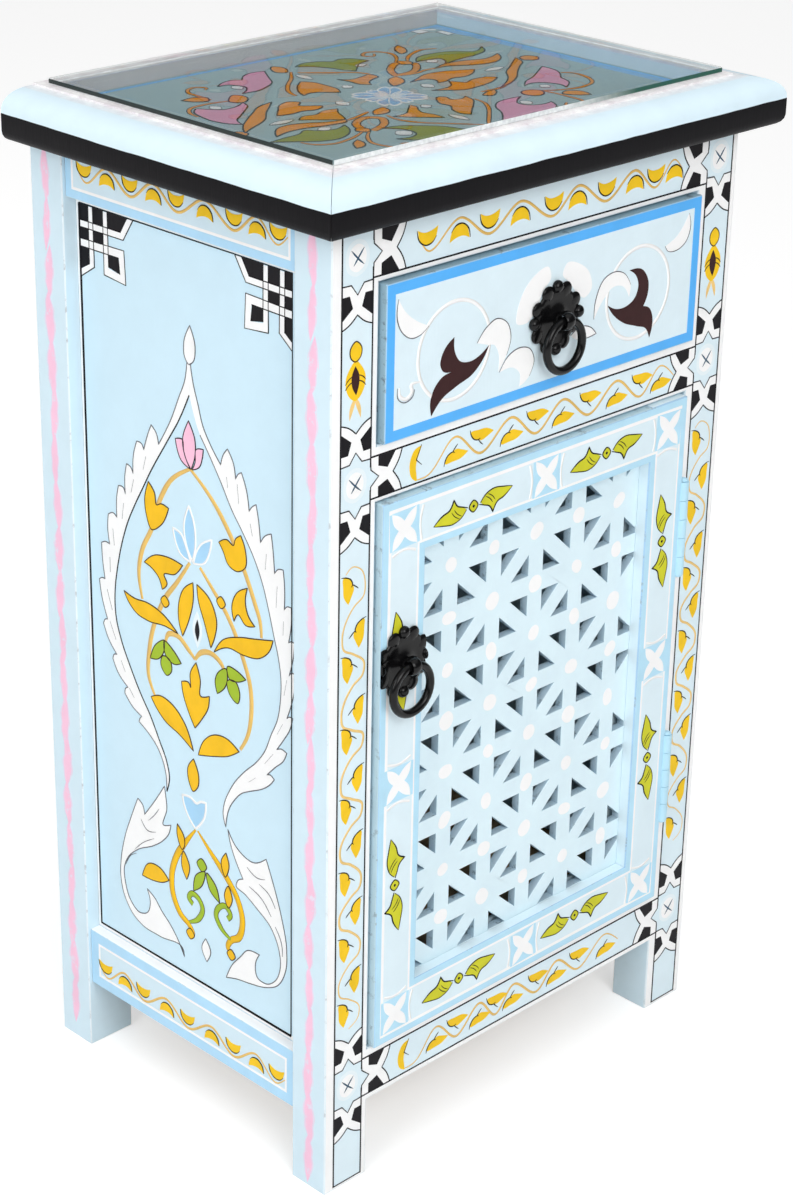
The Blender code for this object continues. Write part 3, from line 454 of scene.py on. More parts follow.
finish_nodes(panel_blue, "panel_left", "panel_right")
finish_nodes(pale_blue, "panel_back")
finish_nodes(wood_long, "drawer_side_left", "drawer_side_right", "drawer_runner_left", "drawer_runner_right",
             "floor_cleat_left", "floor_cleat_right")
finish_nodes(wood_wide, "drawer_back", "drawer_bottom", "floor_board")
finish_nodes(dark_plastic, "magnetic_catch")
finish_nodes(zinc, "door_strike_plate")
for hinge in ("hinge_upper", "hinge_lower"):
    finish_nodes(hinge_paint, hinge + "_frame_leaf", hinge + "_door_leaf", hinge + "_pin")
    finish_nodes(zinc, *[
        f"{hinge}_{side}_screw_{end}" for side in ("frame", "door") for end in ("lower", "upper")])
print("finished in their own shape:", sum(bool(node.data.materials) for node in boards.values()))

# %% [markdown]
# ## Tray top
# The mitred moulding has a black band below and a full pale round above, which ends in a narrow rim that
# hands and the pane have rubbed. One material paints all of that by height, with a little noise in the
# height so that the painted edge wavers as a brush does. Below the pane lies the tray's board.

# %% Tray top
BAND_TOP = 0.6928
RIM = 0.7072


def moulding_paint():
    """Black band, pale round and rubbed rim, told apart by height."""
    made = brushed_paint("moulding_paint", screen(222, 242, 252), 0.03, gloss=0.08)
    tree = made.node_tree
    coat = tree.nodes["Principled BSDF"]
    place = tree.nodes["Texture Coordinate"].outputs["Object"]
    pale = coat.inputs["Base Color"].links[0].from_socket
    height = add(tree, "ShaderNodeSeparateXYZ", {0: place}).outputs["Z"]
    waver = add(tree, "ShaderNodeTexNoise", {"Vector": place, "Scale": 26, "Detail": 2}).outputs["Fac"]
    edge = add(tree, "ShaderNodeMath", {0: waver, 1: 0.0016, 2: height}, operation="MULTIPLY_ADD").outputs[0]
    above = add(tree, "ShaderNodeMapRange", {0: edge, 1: BAND_TOP + 0.0007, 2: BAND_TOP + 0.0009}).outputs[0]
    band = add(
        tree, "ShaderNodeMix", {0: above, 6: screen(17, 16, 19), 7: pale}, data_type="RGBA").outputs[2]
    dabs = add(tree, "ShaderNodeTexNoise", {
        "Vector": place, "Scale": 75, "Detail": 6, "Roughness": 0.7}).outputs["Fac"]
    mottle = ramp(tree, dabs, 0.36, screen(226, 219, 223), 0.62, screen(250, 249, 249))
    rubbed = add(tree, "ShaderNodeMapRange", {0: height, 1: RIM - 0.0006, 2: RIM}).outputs[0]
    whole = add(tree, "ShaderNodeMix", {0: rubbed, 6: band, 7: mottle}, data_type="RGBA").outputs[2]
    tree.links.new(whole, coat.inputs["Base Color"])
    return made


moulded = moulding_paint()
# Painted shade: the back moulding's inner wall, which faces the front under the pane, is painted grey for the
# shade it stands in.
back_wall_shade = brushed_paint("back_wall_painted_shade", screen(212, 204, 203), 0.04)
for side in ("front", "left", "right", "back"):
    node = "moulding_" + side
    shape = merged(node)
    soften(shape, 0.6)
    for face in shape.faces:
        face.material_index = int(side == "back" and face.normal.y < -0.9)
    new_piece(node + "_painted", shape, [moulded, back_wall_shade], "carcass", [node])
tray_blue = brushed_paint("tray_blue_paint", screen(166, 190, 195), 0.03, gloss=0)
finish_nodes(tray_blue, "top_board")
print("moulding painted, band top at", BAND_TOP)

# %% [markdown]
# ## The pane
# The loose pane is 4 mm float glass with ground edges. Clear glass looks green along its edge, because
# light there has passed through its whole width. The front edge is painted pale at its left end, as a painted
# reflection of the light, and turns green towards the right. The faces are told apart by their direction, and
# the lower arrises are ground.

# %% The pane
clear_glass, tree, pane = new_material("tinted_glass")
pane.inputs["Base Color"].default_value = (0.50, 0.62, 0.60, 1)
pane.inputs["Transmission Weight"].default_value = 1.0
pane.inputs["IOR"].default_value = 1.5
pane.inputs["Alpha"].default_value = 0.25
pane.inputs["Specular IOR Level"].default_value = 0.3
place = add(tree, "ShaderNodeTexCoord").outputs["Object"]
smears = add(tree, "ShaderNodeTexNoise", {"Vector": place, "Scale": 14, "Detail": 4})
haze = add(tree, "ShaderNodeMapRange", {0: smears.outputs["Fac"], 3: 0.0, 4: 0.05})
tree.links.new(haze.outputs[0], pane.inputs["Roughness"])
green_edge = metal("green_glass_edge", screen(14, 34, 30), 0.0, 0.12, 0.3, 300)
ground_edge = metal("ground_glass_edge", screen(236, 242, 244), 0.0, 0.4, 0.6, 300)
# The pane's front edge is pale at its left end, a painted reflection of the light, and turns green towards
# the right.
front_edge_reflection = metal("front_glass_edge_painted_reflection", screen(236, 242, 244), 0.0, 0.3, 0.5, 300)
tree = front_edge_reflection.node_tree
shell = tree.nodes["Principled BSDF"]
along = add(tree, "ShaderNodeSeparateXYZ", {
    0: tree.nodes["Texture Coordinate"].outputs["Object"]}).outputs["X"]
reflection_fade = add(tree, "ShaderNodeMapRange", {0: along, 1: 0.02, 2: 0.09}).outputs[0]
tone = shell.inputs["Base Color"].links[0].from_socket
greener = add(
    tree, "ShaderNodeMix", {0: reflection_fade, 6: tone, 7: screen(12, 84, 68)}, data_type="RGBA").outputs[2]
tree.links.new(greener, shell.inputs["Base Color"])
shape = loose_copy("glass_top")
under = min(vert.co.z for vert in shape.verts)
rim = [
    edge for edge in outside_edges(shape, "glass_top")
    if all(vert.co.z < under + 1e-5 for vert in edge.verts)]
bmesh.ops.bevel(shape, geom=rim, offset=0.0028, segments=1, affect="EDGES")
for face in shape.faces:
    if face.normal.x < -0.9:
        face.material_index = 1
    elif face.normal.y < -0.9:
        face.material_index = 3
    elif -0.9 < face.normal.z < -0.1:
        face.material_index = 2
new_piece(
    "glass_pane", shape, [clear_glass, green_edge, ground_edge, front_edge_reflection], "carcass",
    ["glass_top"])
print("pane faces: clear, dark along the left edge, frosted where ground")

# %% [markdown]
# ## Painting by numbers
# The ornament is drawn as a sign painter draws it: an outline is sketched through a few chosen points,
# filled with one colour, and then lined. An image would be quicker, but real marks of paint have a
# thickness that catches light and stay sharp at any size. Each mark is a thin closed plate whose back sits
# in the wood. A point with a third number is a sharp tip, and the line runs smoothly through the others.

# %% Smooth outlines and plates of paint
COAT = 0.05
STACK = 0.007
SUNK = 0.12


def rounded(points, closed=True):
    """A smooth line through chosen points, in mm, as a list of close points."""
    spots = [Vector(point[:2]) for point in points]
    count = len(spots)
    slopes = []
    for i, point in enumerate(points):
        end = not closed and i in (0, count - 1)
        before, after = spots[i] - spots[i - 1], spots[(i + 1) % count] - spots[i]
        near, far = before.length, after.length
        slopes.append(
            None if end or len(point) > 2 else (before * far / near + after * near / far) / (near + far))
    line = []
    for i in range(count if closed else count - 1):
        j = (i + 1) % count
        reach = (spots[j] - spots[i]).length
        straight = (spots[j] - spots[i]) / reach
        leave, arrive = slopes[i], slopes[j]
        if leave is None:
            leave = straight if arrive is None else 1.5 * straight - 0.5 * arrive
        if arrive is None:
            arrive = straight if slopes[i] is None else 1.5 * straight - 0.5 * leave
        steps = 1 if slopes[i] is None and slopes[j] is None else max(2, min(12, round(reach / 1.1)))
        for step in range(steps):
            t = step / steps
            line.append(spots[i] * (2 * t**3 - 3 * t**2 + 1) + spots[j] * (3 * t**2 - 2 * t**3)
                        + leave * reach * (t**3 - 2 * t**2 + t) + arrive * reach * (t**3 - t**2))
    return line if closed else line + [spots[-1]]


def plate(shape, outline, top):
    """One closed plate of paint between its sunken back and its face."""
    upper = [shape.verts.new((point.x, point.y, top)) for point in outline]
    lower = [shape.verts.new((point.x, point.y, -SUNK)) for point in outline]
    shape.faces.new(upper)
    shape.faces.new(lower[::-1])
    for i in range(len(outline)):
        shape.faces.new((upper[i - 1], lower[i - 1], lower[i], upper[i]))


print("one coat of paint is", COAT, "mm")

# %% [markdown]
# ## Brush and stencil
# Two Geometry Nodes trees do the repeating work. The brush turns a path into a flat stroke whose breadth is
# stored at each point, so strokes can swell and taper. The stencil stamps one motif at many places, each
# with its own turn and stretch, as the painter repeats a leaf along a vine. Both end as plain meshes,
# because only those are kept.


# %% Brush and stencil
def new_tree(name, **sockets):
    """An empty Geometry Nodes tree with named inputs."""
    made = bpy.data.node_groups.new(name, "GeometryNodeTree")
    made.interface.new_socket("Geometry", in_out="OUTPUT", socket_type="NodeSocketGeometry")
    made.interface.new_socket("Geometry", in_out="INPUT", socket_type="NodeSocketGeometry")
    for label, kind in sockets.items():
        made.interface.new_socket(label, in_out="INPUT", socket_type="NodeSocket" + kind)
    return made, add(made, "NodeGroupInput").outputs


def end_tree(made, geometry, paint):
    """Realize the instances, paint them and close the tree."""
    real = add(made, "GeometryNodeRealizeInstances", {0: geometry})
    painted = add(made, "GeometryNodeSetMaterial", {"Geometry": real.outputs[0], "Material": paint})
    add(made, "NodeGroupOutput", {0: painted.outputs[0]})


brush_tree, given = new_tree("brush", Back="Float", Paint="Material")
path = add(brush_tree, "GeometryNodeMeshToCurve", {"Mesh": given["Geometry"]})
breadth = add(brush_tree, "GeometryNodeInputNamedAttribute", {"Name": "breadth"}, data_type="FLOAT")
film = add(brush_tree, "GeometryNodeInputNamedAttribute", {"Name": "film"}, data_type="FLOAT")
path = add(brush_tree, "GeometryNodeSetCurveNormal", {"Curve": path.outputs[0]}, mode="Z_UP")
flat = add(brush_tree, "GeometryNodeCurvePrimitiveQuadrilateral", {"Width": 2.0, "Height": 1.0})
stroke = add(brush_tree, "GeometryNodeCurveToMesh", {
    "Curve": path.outputs[0], "Profile Curve": flat.outputs[0], "Scale": breadth.outputs[0],
    "Fill Caps": True})
spot = add(brush_tree, "GeometryNodeInputPosition").outputs[0]
across = add(brush_tree, "ShaderNodeSeparateXYZ", {0: spot}).outputs
above = add(brush_tree, "ShaderNodeMath", {0: across["Z"], 1: 0.0}, operation="GREATER_THAN").outputs[0]
rise = add(brush_tree, "ShaderNodeMapRange", {0: above, 3: given["Back"], 4: film.outputs[0]}).outputs[0]
pressed = add(brush_tree, "ShaderNodeCombineXYZ", {0: across["X"], 1: across["Y"], 2: rise}).outputs[0]
stroke = add(brush_tree, "GeometryNodeSetPosition", {"Geometry": stroke.outputs[0], "Position": pressed})
end_tree(brush_tree, stroke.outputs[0], given["Paint"])

stencil_tree, given = new_tree("stencil", Motif="Object", Paint="Material")
motif = add(stencil_tree, "GeometryNodeObjectInfo", {"Object": given["Motif"], "As Instance": True})
turn = add(stencil_tree, "GeometryNodeInputNamedAttribute", {"Name": "turn"}, data_type="FLOAT_VECTOR")
stretch = add(stencil_tree, "GeometryNodeInputNamedAttribute", {"Name": "stretch"}, data_type="FLOAT_VECTOR")
stamped = add(stencil_tree, "GeometryNodeInstanceOnPoints",
              {"Points": given["Geometry"], "Instance": motif.outputs["Geometry"],
               "Rotation": turn.outputs[0], "Scale": stretch.outputs[0]})
end_tree(stencil_tree, stamped.outputs[0], given["Paint"])


def grown(made, mesh, **settings):
    """Run a tree on a mesh and return the plain mesh that it grows."""
    seed = bpy.data.objects.new("seed", mesh)
    bpy.context.scene.collection.objects.link(seed)
    step = seed.modifiers.new("grow", "NODES")
    step.node_group = made
    for socket in made.interface.items_tree:
        if socket.in_out == "INPUT" and socket.name in settings:
            step[socket.identifier] = settings[socket.name]
    graph = bpy.context.evaluated_depsgraph_get()
    plain_mesh = bpy.data.meshes.new_from_object(seed.evaluated_get(graph), depsgraph=graph)
    bpy.data.objects.remove(seed)
    return plain_mesh


print("trees:", ", ".join(group.name for group in bpy.data.node_groups))

# %% [markdown]
# ## A painting
# A painting gathers the marks of one face. Coats are numbered from the wood up, so that lines lie over
# fills and fills over fields. When the face is done, all its marks become one mesh with one slot for each
# colour, which is laid on the face: millimetres across, millimetres up, and the thickness of the paint.


# %% Painting and laying on
class Painting:
    """Marks for one face or one motif, in mm."""

    def __init__(self):
        self.fills = {}
        self.lines = {}
        self.stamps = []
        self.count = 0

    def film(self, coat):
        """How high a new mark stands; marks of one coat differ a hair, so that no two lie in one plane."""
        self.count += 1
        return coat * COAT + self.count % 6 * STACK

    def fill(self, paint, outline, coat=4, smooth=True):
        """A filled shape."""
        points = rounded(outline) if smooth else [Vector(point[:2]) for point in outline]
        plate(self.fills.setdefault(paint, bmesh.new()), points, self.film(coat))

    def box(self, paint, left, right, low, high, coat=1):
        """A filled rectangle."""
        self.fill(paint, [(left, low), (right, low), (right, high), (left, high)], coat, smooth=False)

    def border(self, paint, left, right, low, high, width, coat=2):
        """A band inside a rectangle's edges."""
        self.box(paint, left, right, high - width, high, coat)
        self.box(paint, left, right, low, low + width, coat)
        self.box(paint, left, left + width, low + width, high - width, coat)
        self.box(paint, right - width, right, low + width, high - width, coat)

    def line(self, paint, points, width=0.9, coat=6, ends=(1, 1), closed=False, smooth=True):
        """A brush stroke; ends gives the share of its width that is left where it starts and stops."""
        way = rounded(points, closed) if smooth else [Vector(point[:2]) for point in points]
        last = max(1, len(way) - 1)
        swell = [min(1, ends[0] + 4 * (1 - ends[0]) * i / last, ends[1] + 4 * (1 - ends[1]) * (1 - i / last))
                 for i in range(len(way))]
        halves = [width / 2 * part for part in swell]
        self.lines.setdefault(paint, []).append((way, halves, self.film(coat), closed))

    def stamp(self, motif, places):
        """Repeat a motif at (across, up, turn in degrees, stretch across, stretch up)."""
        for paint, mesh in motif.collect():
            dots = bpy.data.meshes.new("places")
            dots.from_pydata([(spot[0], spot[1], i % 6 * STACK) for i, spot in enumerate(places)], [], [])
            turns = [part for spot in places for part in (0, 0, math.radians(spot[2]))]
            dots.attributes.new("turn", "FLOAT_VECTOR", "POINT").data.foreach_set("vector", turns)
            sizes = [part for spot in places for part in (spot[3], spot[4], 1)]
            dots.attributes.new("stretch", "FLOAT_VECTOR", "POINT").data.foreach_set("vector", sizes)
            stencil = bpy.data.objects.new("stencil", mesh)
            self.stamps.append((paint, grown(stencil_tree, dots, Motif=stencil, Paint=paint)))
            bpy.data.objects.remove(stencil)

    def collect(self):
        """All marks so far as plain meshes, each with its paint."""
        marks = list(self.stamps)
        for paint, shape in self.fills.items():
            mesh = bpy.data.meshes.new("fills")
            shape.to_mesh(mesh)
            marks.append((paint, mesh))
        for paint, strokes in self.lines.items():
            spots, edges, widths, films = [], [], [], []
            for way, halves, film_top, closed in strokes:
                first = len(spots)
                spots += [(point.x, point.y, 0) for point in way]
                edges += [(i, i + 1) for i in range(first, len(spots) - 1)]
                edges += [(len(spots) - 1, first)] if closed else []
                widths += halves
                films += [film_top] * len(way)
            paths = bpy.data.meshes.new("paths")
            paths.from_pydata(spots, edges, [])
            paths.attributes.new("breadth", "FLOAT", "POINT").data.foreach_set("value", widths)
            paths.attributes.new("film", "FLOAT", "POINT").data.foreach_set("value", films)
            marks.append((paint, grown(brush_tree, paths, Back=-SUNK, Paint=paint)))
        return marks


def face_sheet(origin, right, up, out):
    """The matrix that takes mm on a face to metres on the stand."""
    columns = [Vector(axis) * MM for axis in (right, up, out)]
    return Matrix.Translation(origin) @ Matrix(columns).transposed().to_4x4()


def lay_on(name, painting, sheet, body):
    """Join a painting's marks into one piece on its face."""
    shape = bmesh.new()
    paints = []
    for paint, mesh in painting.collect():
        if paint not in paints:
            paints.append(paint)
        done = len(shape.faces)
        shape.from_mesh(mesh)
        shape.faces.ensure_lookup_table()
        for face in shape.faces[done:]:
            face.material_index = paints.index(paint)
    bmesh.ops.transform(shape, matrix=sheet, verts=shape.verts)
    bmesh.ops.recalc_face_normals(shape, faces=shape.faces)
    print(name, "has", len(shape.faces), "faces in", len(paints), "colours")
    return new_piece(name, shape, paints, body)


def lay_on_front(name, painting, node, body):
    """Lay a painting on the front of a board."""
    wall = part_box(node)[0].y
    lay_on(name, painting, face_sheet((0, wall, 0), (1, 0, 0), (0, 0, 1), (0, -1, 0)), body)


SIDE_MIDDLE = 0.01075
LEFT_BOARDS = {"rail": "rail_left_top", "post": "post_front_left", "panel": "panel_left"}


def lay_on_sides(**paintings):
    """Lay a painting for each kind of board on the left side, and its mirror image on the right."""
    for side, name in ((-1, "left"), (1, "right")):
        for part, painting in paintings.items():
            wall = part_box(LEFT_BOARDS[part])[0].x
            sheet = face_sheet((-side * wall, SIDE_MIDDLE, 0), (0, -1, 0), (0, 0, 1), (side, 0, 0))
            lay_on(f"painting_{name}_{part}", painting, sheet, "carcass")


def circle(radius, steps):
    """Points round a circle."""
    return [(radius * math.cos(2 * math.pi * k / steps), radius * math.sin(2 * math.pi * k / steps))
            for k in range(steps)]


def oval(x, y, wide, tall):
    """Four points for a rounded spot."""
    return [(x + wide, y), (x, y + tall), (x - wide, y), (x, y - tall)]


def mirrored(points, middle):
    """The same points on the other side of an upright line."""
    return [(2 * middle - point[0], *point[1:]) for point in points]


# %% [markdown]
# ## Motifs of the frame
# A few motifs repeat all over the posts and rails: a leaf with a thorn on a waving stem, a half-moon fruit,
# a soft star where post and rail cross, and black and white strapwork round each star. Each is drawn once,
# round its own middle, and stamped where it is needed.

# %% Motifs of the frame
leaf = Painting()
leaf.fill(yellow, [
    (-4.6, 9.4), (-4.8, 2), (-4.2, -5.5), (-0.4, -12.4, 1), (2.4, -6.4), (4.2, -1), (2.9, 3), (0.2, 7.6)])
leaf.line(black, [(-6.4, 10.4), (-2, 9.2), (1.3, 6.8), (2.8, 2.4), (2.1, 0.6)], 0.9, ends=(0.4, 0.6))
leaf.line(black, [(2.8, 2.4), (5.4, 0.4), (8, -2.2)], 0.8, ends=(1, 0.3))

first_leaf = Painting()
first_leaf.fill(yellow, [
    (5, 10.5, 1), (-1, 9), (-4.6, 3.5), (-5.4, -3), (-3, -9.5), (1, -12), (0.8, -8), (0.2, -3), (1, 1.5),
    (3, 6)])
first_leaf.line(black, [(4.8, 11.2), (0.4, 2), (5.2, -2.2)], 0.9, ends=(0.4, 0.4), smooth=False)

moon = Painting()
moon.fill(yellow, [(-8.6, 5.2, 1), (-3.4, 3), (2.6, 3.2), (8.6, 5.4, 1), (6.4, -1.6), (0.4, -5), (-6, -2.2)])
moon.line(black, [(-9.2, 5), (-7.4, -1.2), (-2, -5), (3.4, -4.4), (7.4, -0.6)], 0.9, ends=(0.4, 0.2))

soft_white = brushed_paint("soft_white_paint", screen(234, 246, 251), 0.03)
cross_blue = brushed_paint("cross_blue_paint", screen(52, 84, 108), 0.2, gloss=0.15)
star = Painting()
star.fill(soft_white, [
    (9.6, 2), (6.4, 9), (0.6, 11.6), (-6.6, 9.4), (-9.8, 1.6), (-8.2, -7), (-1, -10.8), (6.8, -7.6)], 3)
star.fill(white, [
    (7, 1.6), (4.8, 6.6), (0.4, 8.8), (-4.6, 7), (-7.4, 1), (-5.8, -5.6), (-0.6, -8.2), (5, -5.4)], 4)
star.line(cross_blue, [(-5.4, 5.6), (0, 0), (5.2, -4.4)], 1.1, ends=(0.2, 0.2))
star.line(cross_blue, [(5, 6), (0, 0), (-3.4, -4.2)], 1.1, ends=(0.2, 0.2))

strap = Painting()
strap.fill(white, [
    (-12.7, 0), (-5.2, 0.3), (0, 7), (5.2, 0.3), (12.7, 0), (12.7, 26.8), (6.6, 24.4), (0, 19.2),
    (-6.6, 24.4), (-12.7, 26.8)], 3, smooth=False)
for side in (-1, 1):
    strap.fill(black, [
        (side * 12.6, 6.6), (side * 6.4, 6.6), (side * 3.7, 14.6), (side * 12.6, 21.4)], 4, smooth=False)
strap.line(black, [(-12.6, 0), (-5.2, 0.3), (0, 7), (5.2, 0.3), (12.6, 0)], 0.8, smooth=False)
strap.line(black, [(-12.6, 26.8), (-6.6, 24.4), (0, 19.2, 1), (6.6, 24.4), (12.6, 26.8)], 0.8)

bud = Painting()
for side in (-1, 1):
    bud.fill(stem_tan, [
        (-side * 0.6, -9.6), (side * 2.4, -12.4), (side * 4.6, -17), (side * 4.6, -24, 1),
        (side * 2.2, -19), (side * 0.4, -14.6)], 3)
bud.fill(yellow, [
    (0, 13), (4.6, 9), (8, 2.6), (7.6, -4), (3.4, -10.6), (0, -12.4), (-3.4, -10.6), (-7.6, -4), (-8, 2.6),
    (-4.6, 9)])
bud.fill(brown, [(-0.3, 9.6, 1), (3, 3), (2.7, -3), (0.5, -8.8, 1), (-2.8, -3), (-3.3, 3)], 5)
HEAD = [(0, 24.8), (4.7, 20.4), (4, 15), (0, 12.2), (-4, 15), (-4.7, 20.4)]
bud.fill(yellow, HEAD, 5)
bud.line(brown, HEAD, 0.8, closed=True)
for side in (-1, 1):
    for low in (3.4, 0):
        bud.line(brown, [
            (side * 3, low), (side * 5.6, low - 1.2), (side * 8.4, low - 4)], 0.7, ends=(1, 0.4))
print("motifs of the frame are drawn")

# %% [markdown]
# ## The painted frame
# Fields of pale paint run along the posts and rails, over the joints, with black lines and white margins.
# The vines follow the photograph leaf by leaf: a list gives where each leaf sits, and the stem is drawn to
# pass it on the other side.


# %% The painted frame
def vine(picture, leaves, reach, upright=False):
    """A waving stem that passes each leaf on its far side; leaves are (along, across the middle, side)."""
    if upright:
        along, middle, side = leaves[0]
        way = [
            (middle + side * 7, along + 11), (middle + side * 2, along + 14.6),
            (middle - side * 6, along + 11)]
        for along, middle, side in leaves:
            far = middle - side * reach
            way += [(far, along + 0.5), (middle - side * reach * 0.88, along - 7), (middle, along - 12.6)]
    else:
        way = [(along, middle - side * reach) for along, middle, side in leaves]
    picture.line(stem_tan if upright else vine_orange, way, 1.8, 3, ends=(0.4, 0.4))


def moon_row(picture, cups, domes, middle, swing=7.5, size=1):
    """Half-moons in turn below and above a waving stem."""
    picture.stamp(moon, [(x, middle + 1.2, 0, size, size) for x in cups])
    picture.stamp(moon, [(x, middle - 1.2, 180, size, size) for x in domes])
    both = sorted([(x, middle, 1) for x in cups] + [(x, middle, -1) for x in domes])
    vine(picture, [(both[0][0] - 8, middle, -0.4)] + both + [(both[-1][0] + 8, middle, 0)], swing)


front = Painting()
CASE_TOP, POST_OUT, POST_IN = 677.2, 185.1, 148.4
LEFT_BAND, RIGHT_BAND = (-177.8, -152.5), (155.2, 180.7)
LEFT_MIDDLE, RIGHT_MIDDLE = -165.15, 167.95
RAIL_BANDS = ((639.8, 677.5), (499.3, 526.6), (64.6, 94.3))
for left, right, band in ((-POST_OUT, -POST_IN, LEFT_BAND), (POST_IN, POST_OUT, RIGHT_BAND)):
    front.box(white, left, right, 1, CASE_TOP)
    front.box(front_blue, *band, 3, CASE_TOP, 2)
    outer, inner = band if left < 0 else band[::-1]
    front.line(black, [(outer, 2.4), (outer, 677)], 1.1, 5, smooth=False)
    for start, stop in ((2.4, 72), (87, 505.6), (520.4, 646.6), (662.6, 677)):
        front.line(black, [(inner, start), (inner, stop)], 1.1, 5, smooth=False)
    front.line(black, [(band[0], 3), (band[1], 3)], 0.9, 5, smooth=False)
for low, high in ((636.9, CASE_TOP), (496.9, 532.1), (60.9, 100.1)):
    front.box(white, -POST_IN, POST_IN, low, high)
for low, high in RAIL_BANDS:
    front.box(front_blue, LEFT_BAND[1], RIGHT_BAND[0], low, high, 2)
    for z in (low, high):
        front.line(black, [(LEFT_BAND[1], z), (RIGHT_BAND[0], z)], 1.1, 5, smooth=False)
for middle, crossings in ((LEFT_MIDDLE, ((638.8, 180), (526, 0), (497.1, 180), (93.7, 0), (64.6, 180))),
                          (RIGHT_MIDDLE, ((643.3, 180), (527.6, 0), (500.5, 180), (95.7, 0), (65, 180)))):
    front.stamp(strap, [(middle, z, turn, 1, 1) for z, turn in crossings])
front.stamp(strap, [(x, z, turn, wide, 1) for x, turn in ((LEFT_BAND[1], -90), (RIGHT_BAND[0], 90))
                    for z, wide in ((654.6, 1.14), (512.95, 1.06), (79.45, 1.15))])
front.stamp(star, [
    (x, z, 0, 1, 1) for x, heights in ((-165.3, (654, 511.6, 79.2)), (167.6, (655.5, 514, 80.5)))
    for z in heights])
front.stamp(bud, [(-166, 578.6, 0, 1, 1), (167.6, 582.4, 0, 1, 1)])
for middle, left_leaves, right_leaves in (
        (LEFT_MIDDLE, (444, 390, 340, 290, 237, 187, 137), (412, 359, 310, 262, 212, 160)),
        (RIGHT_MIDDLE, (455, 403, 352, 303, 255, 203, 151), (427, 375, 328, 278, 230, 178))):
    front.stamp(leaf, [(middle - 4.3, z + 1, 0, 1.02, 0.86) for z in left_leaves])
    front.stamp(leaf, [(middle + 4.3, z + 1, 0, -1.02, 0.86) for z in right_leaves])
    stops = sorted(
        [(z, middle, -1) for z in left_leaves] + [(z, middle, 1) for z in right_leaves], reverse=True)
    vine(front, stops, 9.6, upright=True)
moon_row(front, (-107.5, -53.5, 4.5, 54.5, 102.5), (-80, -26.5, 26.5, 81.5, 121), 654.4)
for middle, upper, lower in ((512.8, (-113.5, -55.5, -3.5, 47.5, 99.5), (-78.5, -27.5, 21.5, 74.5, 119.5)),
                             (79.4, (-112.5, -60.5, -20.5, 22.5, 66.5), (-80.5, -37.5, -3.5, 42.5, 96.5))):
    front.stamp(first_leaf, [(upper[0], middle, 0, 1, 1)])
    front.stamp(leaf, [(x, middle + 3.6, 90, -0.85, 0.95) for x in upper[1:]])
    front.stamp(leaf, [(x, middle - 3.6, 90, 0.85, 0.95) for x in lower])
    stops = sorted([(x, middle, 1) for x in upper] + [(x, middle, -1) for x in lower])
    start, stop = stops[0][0], stops[-1][0]
    vine(
        front, [(start, middle, 1.36), (start + 9, middle, 1.36)] + stops[1:] + [(stop + 14, middle, 0.2)],
        8.4)
lay_on_front("painting_front_frame", front, "post_front_left", "carcass")

# %% [markdown]
# ## Sides of the frame
# The side rails carry the half-moon vine inside a blue border and a white line. A chain of soft pink
# spindles runs down the middle of each post. The right side repeats the left as its mirror image, as the
# two sides of such a stand are painted from one pattern.

# %% Sides of the frame
pink_haze = rubbed_paint("pink_haze_paint", screen(232, 220, 238), screen(216, 234, 245))
dry_pink = rubbed_paint("dry_pink_paint", screen(250, 200, 225), screen(234, 222, 238))
spindle = Painting()
for paint, wide, tall, coat in ((pink_haze, 1.35, 1.06, 1), (dry_pink, 0.96, 1.03, 2)):
    spindle.fill(paint, [
        (0.6, 19.5 * tall, 1), (2.0 * wide, 13), (3.4 * wide, 8), (3.1 * wide, 2), (3.8 * wide, -4),
        (2.2 * wide, -12), (-0.6, -19.5 * tall, 1), (-2.4 * wide, -13), (-3.0 * wide, -7), (-3.7 * wide, 0),
        (-2.6 * wide, 6), (-2.5 * wide, 12)], coat)
side_rails = Painting()
RAIL_HALF = 108
for low, high, inset, middle, cups, domes in (
        (641.6, 677.4, 5.6, 661, (-89, -44, 0, 53, 92), (-67, -22, 26, 73)),
        (53.6, 97.4, 8, 71, (-92, -50, -2, 46, 90), (-71, -25, 23, 69))):
    side_rails.border(border_blue, -RAIL_HALF, RAIL_HALF, low, high, inset)
    side_rails.border(white, inset - RAIL_HALF, RAIL_HALF - inset, low + inset, high - inset, 1.9)
    moon_row(side_rails, cups, domes, middle, 6.4, 0.86)
SPINDLES = 20
side_posts = Painting()
for middle, low, pitch in ((124.6, 23, 33.3), (-125.2, 32, 32.7)):
    side_posts.stamp(spindle, [
        (middle + math.sin(k * 2.3) * 0.7, low + pitch * k, 4 * math.sin(k * 1.7) + 180 * (k % 2),
         1 + 0.15 * math.sin(k * 1.3), 1 + 0.08 * math.sin(k)) for k in range(SPINDLES)])
lay_on_sides(rail=side_rails, post=side_posts)

# %% [markdown]
# ## The side panel
# Each side panel carries one tall picture: a white leafy arch on a finial, vines with bells and lotus
# flowers inside it, and curling leaves below. Black and white interlace fills the upper corners. The points
# are chosen from the photograph, because the two halves are drawn freehand and are not quite alike.


# %% The side panel
def lined(picture, paint, outline, edge=black, width=0.8, coat=4):
    """A filled shape with a thin brush line round it."""
    picture.fill(paint, outline, coat)
    picture.line(edge, outline, width, coat + 2, closed=True)


panel = Painting()
PANEL_BOX = (-105.4, 95.5, 101.4, 636.4)
panel.border(white, -108.4, 108.4, 98.4, 640.6, 3.6, 1)
left, right, low, high = PANEL_BOX
panel.line(black, [(left, high), (left, low), (right, low)], 1.8, 6, smooth=False)
panel.line(black, [(left, high), (right, high), (right, low)], 0.9, 6, smooth=False)


def within(points):
    """Trim points that run past the panel's frame."""
    return [(max(-105, min(95.6, x)), z) for x, z in points]


CORNER_MIDDLE = -3.7

